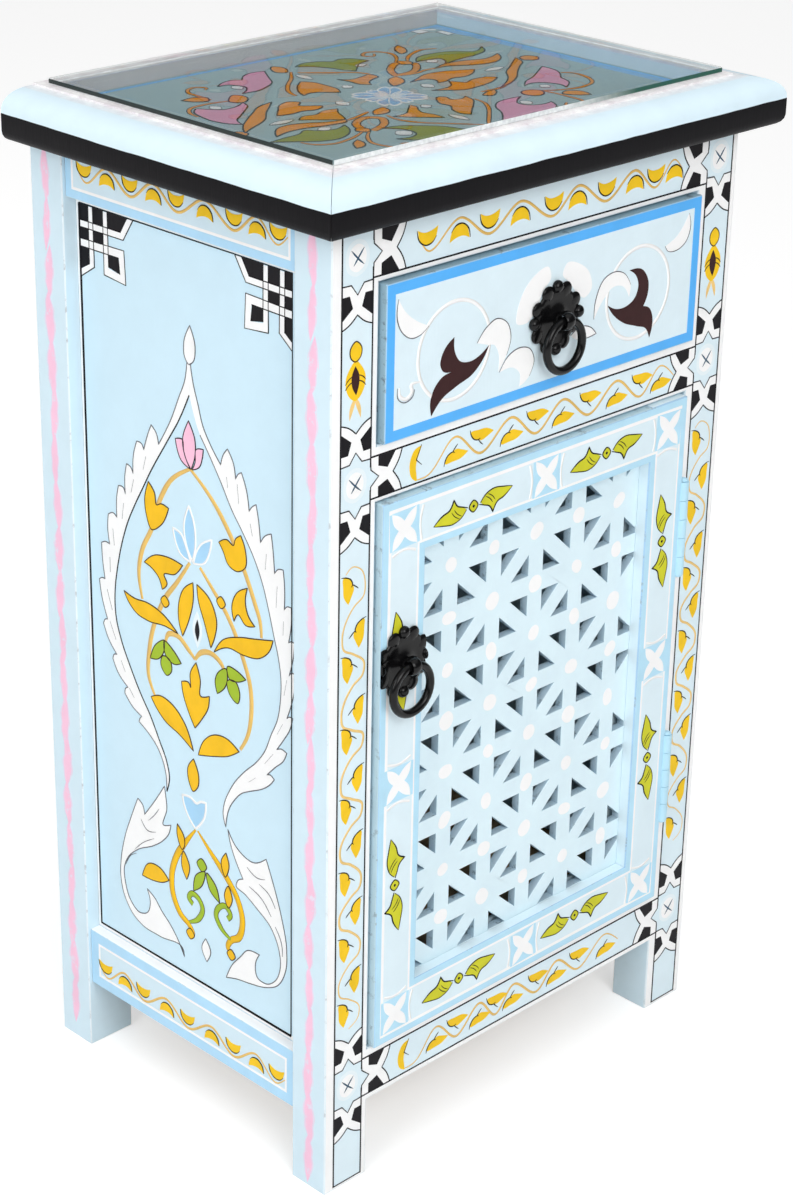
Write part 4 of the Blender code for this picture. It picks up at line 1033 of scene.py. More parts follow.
# interlace of the upper corners: black cells, white bars, and thin lines along every bar
CELLS = [
    [(-112.4, 636.4), (-96.3, 636.4), (-96.3, 625.6), (-112.4, 625.6)],
    [(-91.8, 636.4), (-81.6, 636.4), (-81.6, 625.4), (-91.8, 625.2)],
    [(-77.2, 636.4), (-56.5, 636.4), (-63.6, 625.8), (-77.2, 625.4)],
    [(-112.4, 620.6), (-96.2, 620.4), (-96.2, 613.4), (-112.4, 612.6)],
    [(-91.8, 620.6), (-81.4, 620.8), (-81.4, 613.8), (-91.8, 613.4)],
    [(-112.4, 607.6), (-96.2, 607.6), (-96.2, 597.4), (-112.4, 592.6)],
    [(-76.9, 608), (-66.8, 608.2), (-65.4, 597.4), (-76.9, 599.6)]]
BARS = [
    [(-96.3, 635.6), (-91.8, 635.6), (-91.4, 596.6), (-96.2, 597.4)],
    [(-81.6, 635.6), (-77.2, 635.6), (-76.9, 594.4), (-81.6, 594)],
    [(-112.4, 625.4), (-61.6, 625.8), (-61.6, 621.2), (-112.4, 620.8)],
    [(-112.4, 613), (-61.6, 614), (-61.6, 608.4), (-112.4, 608)],
    [(-57.4, 635.8), (-51.8, 635.8), (-61.6, 621.2), (-64, 625.6)],
    [(-66.8, 612), (-61.6, 614), (-60.4, 592), (-65.4, 597.4)],
    [(-81.6, 599.6), (-65.4, 597.4), (-60.4, 592), (-81.6, 594)],
    [(-112.4, 592.4), (-96.2, 597.4), (-91.4, 596.6), (-112.4, 587.8)]]
BAR_LINES = [
    [(-96.3, 636), (-96.2, 597.4)], [(-91.8, 636), (-91.4, 596.4)], [(-81.6, 636), (-81.6, 594)],
    [(-77.1, 636), (-76.9, 599.6)], [(-112.4, 625.5), (-64, 625.7)],
    [(-112.4, 620.7), (-61.6, 621.1), (-51.6, 636.2)],
    [(-112.4, 613.1), (-61.3, 614.2), (-60.1, 591.7), (-81.8, 593.8)], [(-112.4, 607.8), (-66.6, 608.2)],
    [(-112.4, 587.6), (-91, 596.6)]]
for turned_over in (False, True):
    for paint, coat, outlines in ((black, 2, CELLS), (white, 3, BARS)):
        for outline in outlines:
            panel.fill(paint, within(
                mirrored(outline, CORNER_MIDDLE) if turned_over else outline), coat, smooth=False)
    for way in BAR_LINES:
        panel.line(black, within(mirrored(way, CORNER_MIDDLE) if turned_over else way), 0.7, 5, smooth=False)

# the leafy arch: toothed outside, smooth inside
ARCH_LEFT = [
    (1.6, 556, 1), (-1.6, 556, 1), (-4, 543), (-10, 530), (-18, 513), (-27, 498), (-31, 492, 1), (-33, 499),
    (-38, 503.5, 1), (-42, 495), (-46, 484, 1), (-48, 487.5), (-53, 488, 1), (-56.5, 478), (-57.5, 464, 1),
    (-60, 468), (-64, 469, 1), (-66, 460), (-66, 447, 1), (-68, 451), (-73, 451, 1), (-75, 443),
    (-75.5, 427.5, 1), (-79, 429.5), (-84.5, 427, 1), (-85.5, 418), (-84, 405.5, 1), (-88, 406),
    (-92.5, 404, 1), (-92, 392), (-90, 378, 1), (-93, 378), (-96, 376, 1), (-94, 364), (-88.5, 348.5, 1),
    (-90.5, 348), (-93, 344, 1), (-88, 334), (-79.5, 325, 1), (-82, 324.5), (-84, 320.5, 1), (-79, 312),
    (-68.5, 304, 1), (-71, 302.5), (-72, 298.5, 1), (-64, 291), (-54.5, 287, 1), (-56, 285.5),
    (-57.5, 282, 1), (-48, 277), (-40, 271), (-34, 263), (-30.5, 254), (-29.5, 239, 1), (-26.5, 250),
    (-29, 262), (-36, 275), (-46, 292), (-55, 304), (-65, 320), (-74, 337), (-79, 352), (-80, 362),
    (-79, 377), (-76, 392), (-71, 410), (-64, 428), (-56, 443), (-48, 456.5), (-40, 470), (-22, 497),
    (-10, 515), (0, 534, 1)]
ARCH_RIGHT = [
    (0.2, 534, 1), (10, 510), (20, 497), (30, 483), (40, 467.5), (50, 455.5), (60, 442), (68, 427),
    (74, 410), (79, 393), (83, 380), (85.5, 365), (85, 350), (82, 335), (76, 322), (70, 308), (62, 297),
    (50, 285), (40, 273), (34, 263), (30, 254), (28.5, 245), (31, 236, 1), (32, 243), (34, 250), (40, 260),
    (48, 268.5), (55, 272.5), (70, 281), (76, 286.5), (79, 290.5, 1), (75.5, 292.6), (72, 291.5, 1),
    (80, 300), (88, 308), (91, 314.5, 1), (86, 315.6), (81.4, 313.6, 1), (88, 323), (94, 333),
    (96.5, 341.5, 1), (93.5, 341.6), (91, 339.5, 1), (95.6, 352), (98, 362), (99, 373, 1), (96, 373.6),
    (93, 370.5, 1), (96.6, 383), (98, 395, 1), (95, 395.2), (92.5, 393.5, 1), (94.8, 405), (95, 418.5, 1),
    (91, 418), (88.5, 415, 1), (88.8, 430), (87.5, 442, 1), (83, 441), (79.5, 437, 1), (78.4, 450),
    (76.5, 463, 1), (71, 460), (66.5, 454, 1), (65, 467), (62.5, 478.5, 1), (58.5, 475.5), (56, 472, 1),
    (53.4, 486), (49, 496, 1), (46, 494), (43.5, 490, 1), (41, 501), (36, 508, 1), (32, 503),
    (29.5, 495.5, 1), (20, 506), (13, 516.5), (8.4, 530), (4, 543), (1.5, 555.8, 1)]
panel.fill(white, ARCH_LEFT, 2)
panel.fill(white, ARCH_RIGHT, 2.5)
panel.line(line_grey, ARCH_LEFT[1:54], 0.7, 4)
panel.line(black, ARCH_LEFT[53:], 0.9, 4)
panel.line(line_grey, ARCH_RIGHT[1:], 0.7, 4)
for vein in (
        [(-44, 480), (-47, 470)], [(-57, 460), (-60, 450)], [(-68, 440), (-70, 428)],
        [(-80, 418), (-79, 406)], [(-84, 396), (-84, 385)], [(-88, 371), (-83, 357)],
        [(-86, 348), (-80, 336)], [(-75, 322), (-71, 315)], [(-67, 304), (-62, 298.5)],
        [(35, 489), (36, 482)], [(45, 487), (46.4, 474)], [(57, 464), (59, 456)], [(72, 448), (71, 437)],
        [(82, 429), (81, 414)], [(88, 407), (87.4, 397)], [(91, 367), (88.4, 355)], [(87, 334), (82, 325)],
        [(78, 309), (70, 299)], [(61, 285), (54, 279)]):
    panel.line(line_grey, vein, 0.5, 5, ends=(0.3, 0.3))
lined(panel, white, [
    (1.5, 580.5, 1), (6.4, 567), (4, 557), (0, 554.6), (-3.4, 558), (-4.4, 567)], line_grey, 0.7, 3)

# vines
for way in (
        [(0, 484), (-20, 470), (-30, 455), (-40, 430), (-50, 412), (-54, 395), (-51, 376)],
        [(0, 484), (22, 468), (38, 450), (52, 428), (60, 412), (66, 398), (67, 388)],
        [(-2, 418), (-15, 400), (-27, 385), (-33, 375), (-39, 362), (-45, 340), (-46, 320), (-40, 308)],
        [(8, 418), (20, 407), (35, 392), (42, 382), (48, 370), (56, 350), (57, 330), (53, 312), (46, 300)],
        [(-28, 352), (-25, 359), (-15, 361), (-5, 355), (2, 350)],
        [(2, 350), (8, 357), (18, 360), (28, 356), (32, 350)]):
    panel.line(vine_orange, way, 3.9, 2, ends=(0.6, 0.6))
for x, z in ((-27.5, 382), (28.5, 400), (-7, 136), (35.4, 138)):
    lined(panel, amber, oval(x, z, 4.2, 4.2), brown, 0.7)
for way in (
        [(0, 221), (-10, 208), (-20, 193), (-26, 175), (-25, 160), (-17, 147), (-8, 142), (-4.5, 137),
         (-8, 134)],
        [(2, 221), (15, 210), (30, 198), (42, 185), (47, 170), (43, 155), (35, 149), (32, 142), (36, 139)]):
    panel.line(brown, way, 5.6, 1, ends=(0.3, 0.7))
    panel.line(amber, way, 5.0, 2, ends=(0.3, 0.7))

# flowers and leaves
LOTUS = [[(-14, 501, 1), (-7, 502), (-6, 495), (0, 484, 1), (-9, 488), (-13, 496)],
         [(13, 501, 1), (6, 499), (5, 490), (2, 484, 1), (9, 488), (12, 495)],
         [(-1, 516.5, 1), (5, 505), (5, 495), (1, 484, 1), (-4, 490), (-7, 500)]]
for petal in LOTUS:
    lined(panel, pink, petal, black, 0.7)
BLUE_LOTUS = [[(-18, 438, 1), (-9, 435), (-6, 430), (-1, 419, 1), (-11, 422), (-16, 430)],
              [(20, 441, 1), (9, 434), (5, 428), (2, 419, 1), (12, 422), (18, 432)],
              [(-2, 458, 1), (3, 447), (4, 432), (1, 420, 1), (-4, 428), (-7, 442)]]
for petal in BLUE_LOTUS:
    lined(panel, flower_blue, petal, white, 1.5)
AMBER_LEAVES = [
    [(-42, 463, 1), (-46, 450), (-45, 440), (-40, 430), (-30, 436), (-22, 450, 1), (-30, 451), (-34, 449),
     (-36, 457)],
    [(48, 453, 1), (52, 445), (52, 432), (44, 427), (36, 429), (31, 437), (27, 442, 1), (35, 446),
     (41, 444), (43, 449)],
    [(-48, 404, 1), (-38, 412), (-25, 415), (-9, 414, 1), (-17, 405), (-28, 401), (-25, 396), (-30, 390, 1),
     (-33, 397), (-40, 402)],
    [(54, 418.5, 1), (44, 412), (39, 400), (41, 391, 1), (45, 397), (52, 392), (61, 394, 1), (55, 399),
     (52, 408)],
    [(1, 405, 1), (-8, 398), (-14, 382), (-13, 370), (-10, 363, 1), (-3, 378), (1, 392)],
    [(5, 405, 1), (17, 399), (24, 385), (22, 373), (18, 364, 1), (12, 380), (6, 395)],
    [(-70, 376, 1), (-60, 374), (-45, 375), (-30, 372), (-15, 363, 1), (-28, 364), (-45, 362), (-58, 364),
     (-66, 370)],
    [(21, 362, 1), (30, 374), (45, 381), (60, 385), (78, 390, 1), (75, 382), (65, 373), (50, 370), (35, 370)],
    [(3, 348, 1), (7, 337), (7, 325), (16, 328, 1), (15, 320), (8, 308), (1, 299, 1), (-6, 310), (-11, 322),
     (-12, 329, 1), (-4, 330), (-3, 328), (-3, 338)],
    [(-44, 306, 1), (-35, 310), (-22, 308), (-10, 299), (-1, 281, 1), (-15, 288), (-30, 293), (-40, 301)],
    [(4, 280, 1), (10, 293), (20, 301), (33, 303), (45, 298, 1), (35, 291), (20, 285)],
    [(-1, 275, 1), (4, 264), (3, 255), (-2, 250), (-6, 256), (-7, 266)],
    [(-19, 218, 1), (-12, 210), (-12, 203), (-14, 200), (-19, 208)],
    [(-13, 199), (-7, 190), (-10, 178, 1), (-15, 187)], [(31, 216, 1), (34, 207), (30, 197), (26, 207)],
    [(33, 191), (37, 182), (33, 174), (29, 182)],
    [(-29, 169, 1), (-38, 175), (-50, 174), (-58, 161, 1), (-45, 162), (-35, 165)]]
for outline in AMBER_LEAVES:
    lined(panel, amber, outline, brown, 0.7)
GREEN_LEAVES = [
    [(-29, 353), (-38, 347), (-44, 335, 1), (-36, 337), (-30, 344)],
    [(-29, 353), (-20, 349), (-12, 342, 1), (-20, 339), (-28, 343)],
    [(-31, 341), (-33, 334), (-27, 328), (-22, 333), (-24, 341)],
    [(34, 356), (45, 356), (52, 353, 1), (45, 349), (36, 348)],
    [(33, 354), (26, 350), (22, 342), (24, 333, 1), (32, 341), (34, 347)],
    [(34, 346), (36, 337), (44, 333), (46, 341), (42, 348)], [(9, 192), (0, 186), (-3, 172, 1), (6, 180)],
    [(11, 192), (20, 186), (24, 174, 1), (14, 180)], [(11, 196), (6, 201), (1, 196), (6, 191)]]
for outline in GREEN_LEAVES:
    lined(panel, leaf_green, outline, brown, 0.7)
for way in ([(-8, 145), (2, 152), (6, 162), (2, 168), (-5, 169), (-8, 164), (-4, 161)],
            [(35, 150), (25, 155), (20, 163), (23, 170), (30, 174), (35, 169), (32, 165)]):
    panel.line(brown, way, 4.6, 4, ends=(0.5, 0.9))
    panel.line(leaf_green, way, 3.8, 5, ends=(0.5, 0.9))
panel.fill(soft_white, [(4.6, 386, 1), (9.5, 372), (4.6, 359, 1), (0, 372)], 3)
panel.fill(black, [(5, 380, 1), (7, 372), (5, 364, 1), (2.4, 371)], 5)
lined(panel, flower_blue, [
    (-13, 243, 1), (-4, 244), (1, 242), (6, 245), (11, 246, 1), (10, 236), (4, 226), (0, 222, 1), (-8, 230),
    (-12, 238)], white, 1.8)
lined(panel, white, [(9, 139, 1), (14, 131), (10, 121, 1), (5, 130)], line_grey, 0.6)

# the curling leaves at the foot
LOWER_LEFT = [
    (-32, 242, 1), (-40, 230), (-54, 211, 1), (-56, 218), (-61, 221, 1), (-68, 205), (-76, 185), (-81, 165),
    (-82, 150), (-78, 135), (-70, 125), (-60, 120), (-40, 119), (-15, 119), (-14, 114, 1), (-20, 124),
    (-28, 133), (-38, 141), (-45, 148), (-53, 152, 1), (-50, 143), (-53, 133), (-63, 129), (-72, 135),
    (-77, 147), (-78, 158), (-74, 168), (-62, 180), (-45, 190), (-35, 198), (-28, 207), (-26, 214, 1),
    (-34, 211), (-30, 225), (-31, 236)]
LOWER_RIGHT = [
    (33, 235, 1), (40, 226), (58, 220), (71, 228, 1), (78, 212), (86, 190), (91, 168), (90, 150), (82, 135),
    (70, 128), (55, 124), (40, 121), (30, 117.5, 1), (36, 130), (45, 141), (52, 149), (64, 151, 1),
    (60, 142), (62, 132), (70, 131), (80, 138), (85, 152), (83, 165), (75, 178), (62, 186), (50, 192),
    (41, 195), (43, 200), (48, 203, 1), (42, 212), (36, 224)]
for outline in (LOWER_LEFT, LOWER_RIGHT):
    lined(panel, white, outline, line_grey, 0.7, 2)
for vein in (
        [(-66, 178), (-56, 188), (-44, 196)], [(-50, 208), (-44, 214), (-38, 222)],
        [(-58, 206), (-52, 200), (-42, 202)], [(-76, 162), (-70, 172), (-64, 176)],
        [(52, 214), (62, 210), (70, 212)], [(54, 200), (66, 196), (76, 186)],
        [(64, 206), (74, 202), (80, 194)], [(80, 180), (86, 170), (87, 160)]):
    panel.line(line_grey, vein, 0.5, 6, ends=(0.3, 0.3))
lay_on_sides(panel=panel)

# %% [markdown]
# ## The drawer front
# A bright blue band frames the drawer. Inside it, white rings and curling petals grow from the pull to both
# sides, and a dark brown leaf lies in each ring. The two halves are again freehand and are drawn one by
# one.

# %% The drawer front
drawer_art = Painting()
drawer_art.border(drawer_blue, -145.1, 145.1, 534.9, 634.1, 6.6, 1)
RINGS_HEIGHT = 581
for middle, radius in ((-87, 31.5), (85, 31)):
    ring = [(middle + x, RINGS_HEIGHT + y) for x, y in circle(radius, 16)]
    drawer_art.line(white, ring, 2.6, 2, closed=True)
WHITE_PETALS = [
    [(-136, 624, 1), (-137, 612), (-133, 603), (-124, 597), (-116, 598), (-110, 602, 1), (-120, 607),
     (-130, 615)],
    [(133, 625, 1), (135, 615), (131, 606), (122, 602), (112, 604), (110, 607, 1), (122, 612)],
    [(-67, 581, 1), (-58, 590), (-50, 593), (-40, 588), (-36.5, 578), (-40, 567), (-47, 557.5, 1),
     (-47, 569), (-51, 576), (-58, 578)],
    [(42, 572, 1), (43, 585), (50, 597), (60, 600), (70, 597), (77, 588), (76, 580, 1), (70, 588),
     (60, 590), (51, 584)],
    [(-46, 557, 1), (-38, 566), (-27, 569), (-18, 566), (-14, 558), (-18, 548), (-27, 543, 1), (-27, 552),
     (-33, 557)],
    [(20, 566, 1), (30, 570), (40, 567), (45, 562, 1), (36, 561), (26, 562)],
    [(-31, 585), (-29, 600), (-19, 612), (-3, 616), (-1, 609), (-8, 602), (-13, 592), (-22, 584)],
    [(38, 593), (36, 604), (27, 612), (13, 615), (10, 609), (17, 602), (24, 594), (32, 589)]]
for outline in WHITE_PETALS:
    drawer_art.fill(white, outline, 3)
for outline in WHITE_PETALS[:-2]:
    drawer_art.line(line_grey, outline[:6], 0.6, 5, ends=(0.3, 0.3))
drawer_art.line(white, [
    (-134, 568), (-133, 562), (-128, 559.5), (-123, 563), (-124, 567), (-116, 567.5)],
    2.6, 3, ends=(0.4, 0.3))
drawer_art.line(line_grey, [
    (-135.6, 568), (-135, 561), (-129, 557.4), (-122, 560.6), (-121, 564)], 0.6, 5, ends=(0.3, 0.3))
BROWN_LEAVES = [
    [(-87.5, 589.5, 1), (-96, 583), (-99, 574), (-97, 570), (-88, 567.5, 1), (-97, 566), (-104, 560),
     (-107, 553), (-106, 543, 1), (-97, 552), (-85, 557), (-70, 562), (-60, 571), (-56, 577.5, 1),
     (-63, 573), (-73, 570.5), (-82, 573), (-87, 581)],
    [(75, 598, 1), (88, 596), (95, 586), (94.5, 577), (91, 570.4, 1), (97, 568), (101, 561), (101, 553),
     (99, 547, 1), (95, 554), (85, 558), (72, 563), (60, 572), (55, 578.5, 1), (65, 574), (74, 574),
     (82, 578), (85, 586), (82, 593)]]
for outline in BROWN_LEAVES:
    drawer_art.fill(brown, outline, 4)
lay_on_front("painting_drawer", drawer_art, "drawer_front", "drawer")

# %% [markdown]
# ## The door
# The door's frame has blue bands along both its edges, white lines beside them, white four-point stars in
# the corners and middles, and pairs of lime leaves between. White dots mark the crossings of the fretwork.

# %% The door
lime_leaf = Painting()
LIME = [
    (6.5, 0.6, 1), (11, 5), (18, 7.4), (29, 6), (36.6, 4.4, 1), (28, -1), (22.6, -2.6), (18.4, -9, 1),
    (15, -4), (10, -2)]
lime_leaf.fill(lime, LIME)
lime_leaf.line(black, LIME[4:] + [(5.5, -0.4)], 1.0, ends=(0.3, 0.6))
lime_leaf.line(black, LIME[:5], 0.7, ends=(0.6, 0.4))
lime_leaf.line(black, [(11, 3.8), (15, 1.4), (18, -2.2)], 0.6, ends=(0.3, 0.3))
lime_leaf.line(black, [(13, 5.2), (17.6, 2.4), (20.4, -1)], 0.6, ends=(0.3, 0.3))
lime_ring = Painting()
lined(lime_ring, lime, oval(0, 0, 4, 4))
lime_ring.fill(black, oval(0, 0, 1.1, 1.1), 6)
door_star = Painting()
door_star.box(door_blue, -13, 13, -12.6, 12.6, 2)
door_star.fill(white, [
    (10.8, 12.4, 1), (4.8, 9.8), (0, 5.4, 1), (-4.8, 9.8), (-10.8, 12.4, 1), (-9.2, 4.6), (-5.2, 0, 1),
    (-9.2, -4.6), (-10.8, -12.4, 1), (-4.8, -9.8), (0, -5.4, 1), (4.8, -9.8), (10.8, -12.4, 1), (9.2, -4.6),
    (5.2, 0, 1), (9.2, 4.6)], 3)

door_art = Painting()
for left, right, low, high in (
        (-139, 137.6, 462, 488), (-139, 137.6, 109, 135), (-139, -114, 109, 488), (114, 137.6, 109, 488)):
    door_art.box(front_blue, left, right, low, high, 0.5)
door_art.border(door_blue, -145.2, 143.7, 102.8, 494.2, 4.6, 1)
door_art.border(white, -140.6, 139.1, 107.4, 489.6, 2.4, 1)
door_art.border(door_blue, -113.4, 113.6, 136.4, 460.8, 4.6, 1)
door_art.border(white, -115.2, 115.4, 134.6, 462.6, 1.8, 1)
door_art.stamp(door_star, [(x, z, turn, 1, 1) for x, z, turn in (
    (-127, 474.5, 2), (3, 474.5, 0), (126, 475, -2), (-127.6, 297, 0), (126.4, 302, 0), (-127, 122, 0),
    (0, 121.5, 2), (125, 121.5, -2))])
for x, z, side in (
        (-127, 474.5, 1), (3, 474.5, -1), (3, 474.5, 1), (126, 475, -1), (-127, 122, 1), (0, 121.5, -1),
        (0, 121.5, 1), (125, 121.5, -1)):
    door_art.line(white, [
        (x + side * 15.4, z - 11.6), (x + side * 13.8, z), (x + side * 16.4, z + 11.6)], 1.8, 3)
for x, z, side in (
        (-127, 474.5, -1), (126, 475, -1), (-127.6, 297, -1), (-127.6, 297, 1), (126.4, 302, -1),
        (126.4, 302, 1), (-127, 122, 1), (125, 121.5, 1)):
    door_art.line(white, [
        (x - 10.4, z + side * 16.4), (x, z + side * 14), (x + 10.4, z + side * 16.8)], 1.8, 3)
PAIRS = [
    (-65.5, 472.5, 0), (62, 475, 0), (-65, 122.5, 0), (54, 123.5, 0), (-129, 384, 90), (-129.5, 222, 90),
    (126, 393, 90), (125, 225, 90)]
door_art.stamp(lime_leaf, [
    (x, z, turn + half_turn, 0.98, 0.98) for x, z, turn in PAIRS for half_turn in (0, 180)])
door_art.stamp(lime_ring, [(x, z, 0, 1, 1) for x, z, turn in PAIRS])
lay_on_front("painting_door", door_art, "door_stile_left", "door")

dot = Painting()
DAB = [
    (5.8, 0.6), (3.6, 4.4), (-0.4, 5.6), (-4.6, 3.8), (-5.6, -0.8), (-3.6, -4.6), (0.6, -5.6), (4.6, -3.6)]
SECOND_DAB = [
    (4.6, 0.4), (3, 3.4), (-0.4, 4.6), (-3.8, 3), (-4.4, -0.8), (-2.6, -3.8), (0.6, -4.4), (3.8, -2.8)]
dot.fill(white, DAB, 1)
dot.fill(white, SECOND_DAB, 2)
dots = Painting()
DOTS_X, DOTS_Z, PITCH_X, PITCH_Z = 6.6, 283, 40.8, 37.2
crossings = [(i, j) for i in range(-2, 3) for j in range(-3, 5)]
dots.stamp(dot, [
    (DOTS_X + PITCH_X * i + 0.6 * math.sin(5 * i + j), DOTS_Z + PITCH_Z * j + 0.6 * math.cos(3 * j - i),
     47 * i + 31 * j, 1 + 0.14 * math.sin(7 * i + 3 * j), 1 + 0.2 * math.sin(2 * i + 5 * j))
    for i, j in crossings])
lay_on_front("painting_fretwork", dots, "door_lattice", "door")

# %% [markdown]
# ## The tray picture
# Below the pane lies one large medallion: a blue flower in the middle, and arms of leaves that grow to the
# four corners and sides. It is seen through glass, which greys it, so its colours are mixed strong and
# without gloss. A blue line runs round the tray's floor.

# %% The tray picture
tray = Painting()
TRAY_ORANGE = [
    [(4, 88, 1), (-6, 80), (-17, 66), (-20, 59, 1), (-10, 61), (-4, 57), (4, 50, 1), (9, 58), (10, 70),
     (9, 82)],
    [(-68, 32, 1), (-58, 42), (-48, 51), (-38, 53), (-34, 48), (-40, 42), (-30, 31), (-40, 27), (-48, 30),
     (-58, 29)],
    [(-65, 15, 1), (-57, 20), (-48, 18), (-38, 22), (-27, 20, 1), (-34, 12), (-38, 4), (-42, -2), (-50, 3),
     (-58, 10)],
    [(-112, 13, 1), (-101, 27), (-90, 36), (-75, 47), (-62, 56), (-47, 60, 1), (-55, 53), (-68, 42),
     (-80, 30), (-90, 24), (-99, 20)],
    [(-103, -6, 1), (-97, 2), (-88, 9), (-78, 10), (-66, 6), (-55, 0), (-42, -3, 1), (-45, -7), (-55, -7),
     (-65, -5), (-78, -2), (-90, -2)],
    [(-20, -6), (-14, 1), (-3, 4, 1), (-4, -3), (-10, -8)],
    [(-85, -57, 1), (-78, -47), (-71, -43, 1), (-73, -52), (-79, -57)],
    [(14, -3, 1), (6, -10), (-4, -17), (-14, -17, 1), (-9, -23), (0, -32), (8, -40, 1), (9, -30), (7, -22),
     (10, -15), (15, -8)],
    [(27, 77, 1), (33, 71), (45, 72), (53, 73), (53, 65), (45, 62), (38, 58), (34, 52, 1), (29, 58),
     (29, 66)],
    [(43, 40), (47, 49), (55, 56), (62, 57, 1), (60, 48), (52, 41)],
    [(112, 102), (115, 111), (124, 120), (128, 122, 1), (124, 110), (117, 103)],
    [(58, 40, 1), (68, 44), (80, 49), (95, 48), (108, 42), (117, 38, 1), (108, 31), (98, 28), (88, 30),
     (78, 27), (71, 27, 1), (75, 33), (74, 38), (68, 40)],
    [(53, 15, 1), (61, 9), (70, 3), (85, 3), (100, 6), (112, 12, 1), (108, 17), (95, 19), (85, 16),
     (83, 20), (80, 26, 1), (70, 15)],
    [(100, 58, 1), (115, 62), (130, 60), (145, 55), (163, 60, 1), (157, 51), (148, 45), (138, 44),
     (125, 48), (113, 55)],
    [(92, -9, 1), (108, 0), (118, 8), (128, 19), (140, 27), (150, 34), (163, 43, 1), (158, 32), (148, 25),
     (135, 15), (122, 4), (110, -3)],
    [(44, 0), (36, -6), (32, -14), (33, -20), (26, -30), (24, -40), (27, -45, 1), (35, -38), (47, -28),
     (55, -20), (58, -10, 1), (50, -13), (45, -10), (47, -4)],
    [(69, -16), (75, -12), (86, -10, 1), (80, -17), (73, -20)],
    [(112, -46), (118, -43), (126, -50), (124, -60, 1), (116, -55)],
    [(-67, 77), (-62, 84), (-53, 89), (-50, 82), (-55, 74), (-62, 71)],
    [(-88, 100, 1), (-84, 92), (-76, 88), (-71, 96), (-78, 101)],
    [(10, 116), (12, 125), (19, 131), (22, 127), (20, 118), (14, 113)],
    [(-123, 12), (-118, 20), (-111, 16), (-111, 11), (-117, 8)],
    [(163, 35), (166, 42), (173, 43), (177, 36), (171, 30)],
    [(91, -32), (94, -26), (101, -25), (107, -31), (103, -38), (96, -40)],
    [(90, 80), (94, 88), (100, 82), (96, 76)], [(-57, -28), (-52, -23), (-47, -29), (-52, -34)]]
TRAY_PINK = [
    [(6, 125, 1), (-4, 127), (-15, 123), (-22, 116, 1), (-28, 120), (-36, 119), (-46, 113, 1), (-38, 112),
     (-34, 106), (-33, 101), (-38, 94), (-46, 89, 1), (-33, 88), (-22, 92), (-12, 98), (-4, 110)],
    [(-62, 71, 1), (-75, 65), (-85, 66), (-90, 72), (-95, 78, 1), (-101, 73), (-106, 60), (-107, 45),
     (-104, 36), (-99, 30, 1), (-95, 39), (-85, 47), (-73, 56), (-65, 63)],
    [(158, 14, 1), (145, 6), (130, -3), (118, -8), (108, -16, 1), (118, -14), (126, -20), (129, -28),
     (127, -36, 1), (140, -26), (144, -16), (150, -10), (156, -2)],
    [(30, -69, 1), (38, -62), (46, -53), (52, -43), (62, -35), (75, -33), (85, -34, 1), (75, -40),
     (70, -46), (72, -53), (80, -57), (90, -56, 1), (84, -66), (72, -71), (60, -68), (50, -71)]]
TRAY_GREEN = [
    [(30, 121, 1), (42, 125), (52, 122), (60, 116), (68, 118), (78, 110), (80, 102, 1), (70, 100), (62, 94),
     (53, 86, 1), (48, 95), (45, 105), (40, 113)],
    [(103, 79, 1), (112, 87), (128, 89), (145, 84), (155, 75), (170, 82, 1), (163, 72), (150, 67),
     (135, 66), (113, 62, 1), (120, 68), (122, 75), (112, 78)],
    [(-115, -13, 1), (-100, -11), (-88, -10), (-80, -6), (-72, -14), (-62, -16), (-52, -12, 1), (-57, -22),
     (-66, -30), (-78, -34), (-90, -31), (-102, -22)],
    [(-40, -33, 1), (-28, -36), (-18, -44), (-8, -55), (-3, -68), (0, -75), (-15, -76), (-30, -73),
     (-45, -66), (-51, -57, 1), (-42, -60), (-33, -56), (-31, -46), (-35, -38)]]
tray_orange = brushed_paint("tray_orange_paint", screen(240, 148, 4), 0.08, gloss=0)
tray_pink = brushed_paint("tray_pink_paint", screen(232, 160, 192), 0.06, gloss=0)
tray_green = brushed_paint("tray_green_paint", screen(146, 154, 8), 0.08, gloss=0)
tray_black = brushed_paint("tray_line_paint", screen(14, 13, 10), 0.1, gloss=0)
for colour, outlines in ((tray_orange, TRAY_ORANGE), (tray_pink, TRAY_PINK), (tray_green, TRAY_GREEN)):
    for outline in outlines:
        lined(tray, colour, outline, tray_black, 1.1)
for way in ([(-50, -28), (-47, -18), (-38, -10), (-28, -8), (-23, -14), (-28, -23), (-38, -30), (-48, -33)],
            [(64, 58), (70, 70), (78, 78), (92, 84), (98, 78), (90, 66), (80, 60), (66, 60)]):
    tray.line(tray_black, way, 6.2, 2)
    tray.line(tray_orange, way, 4.4, 3)
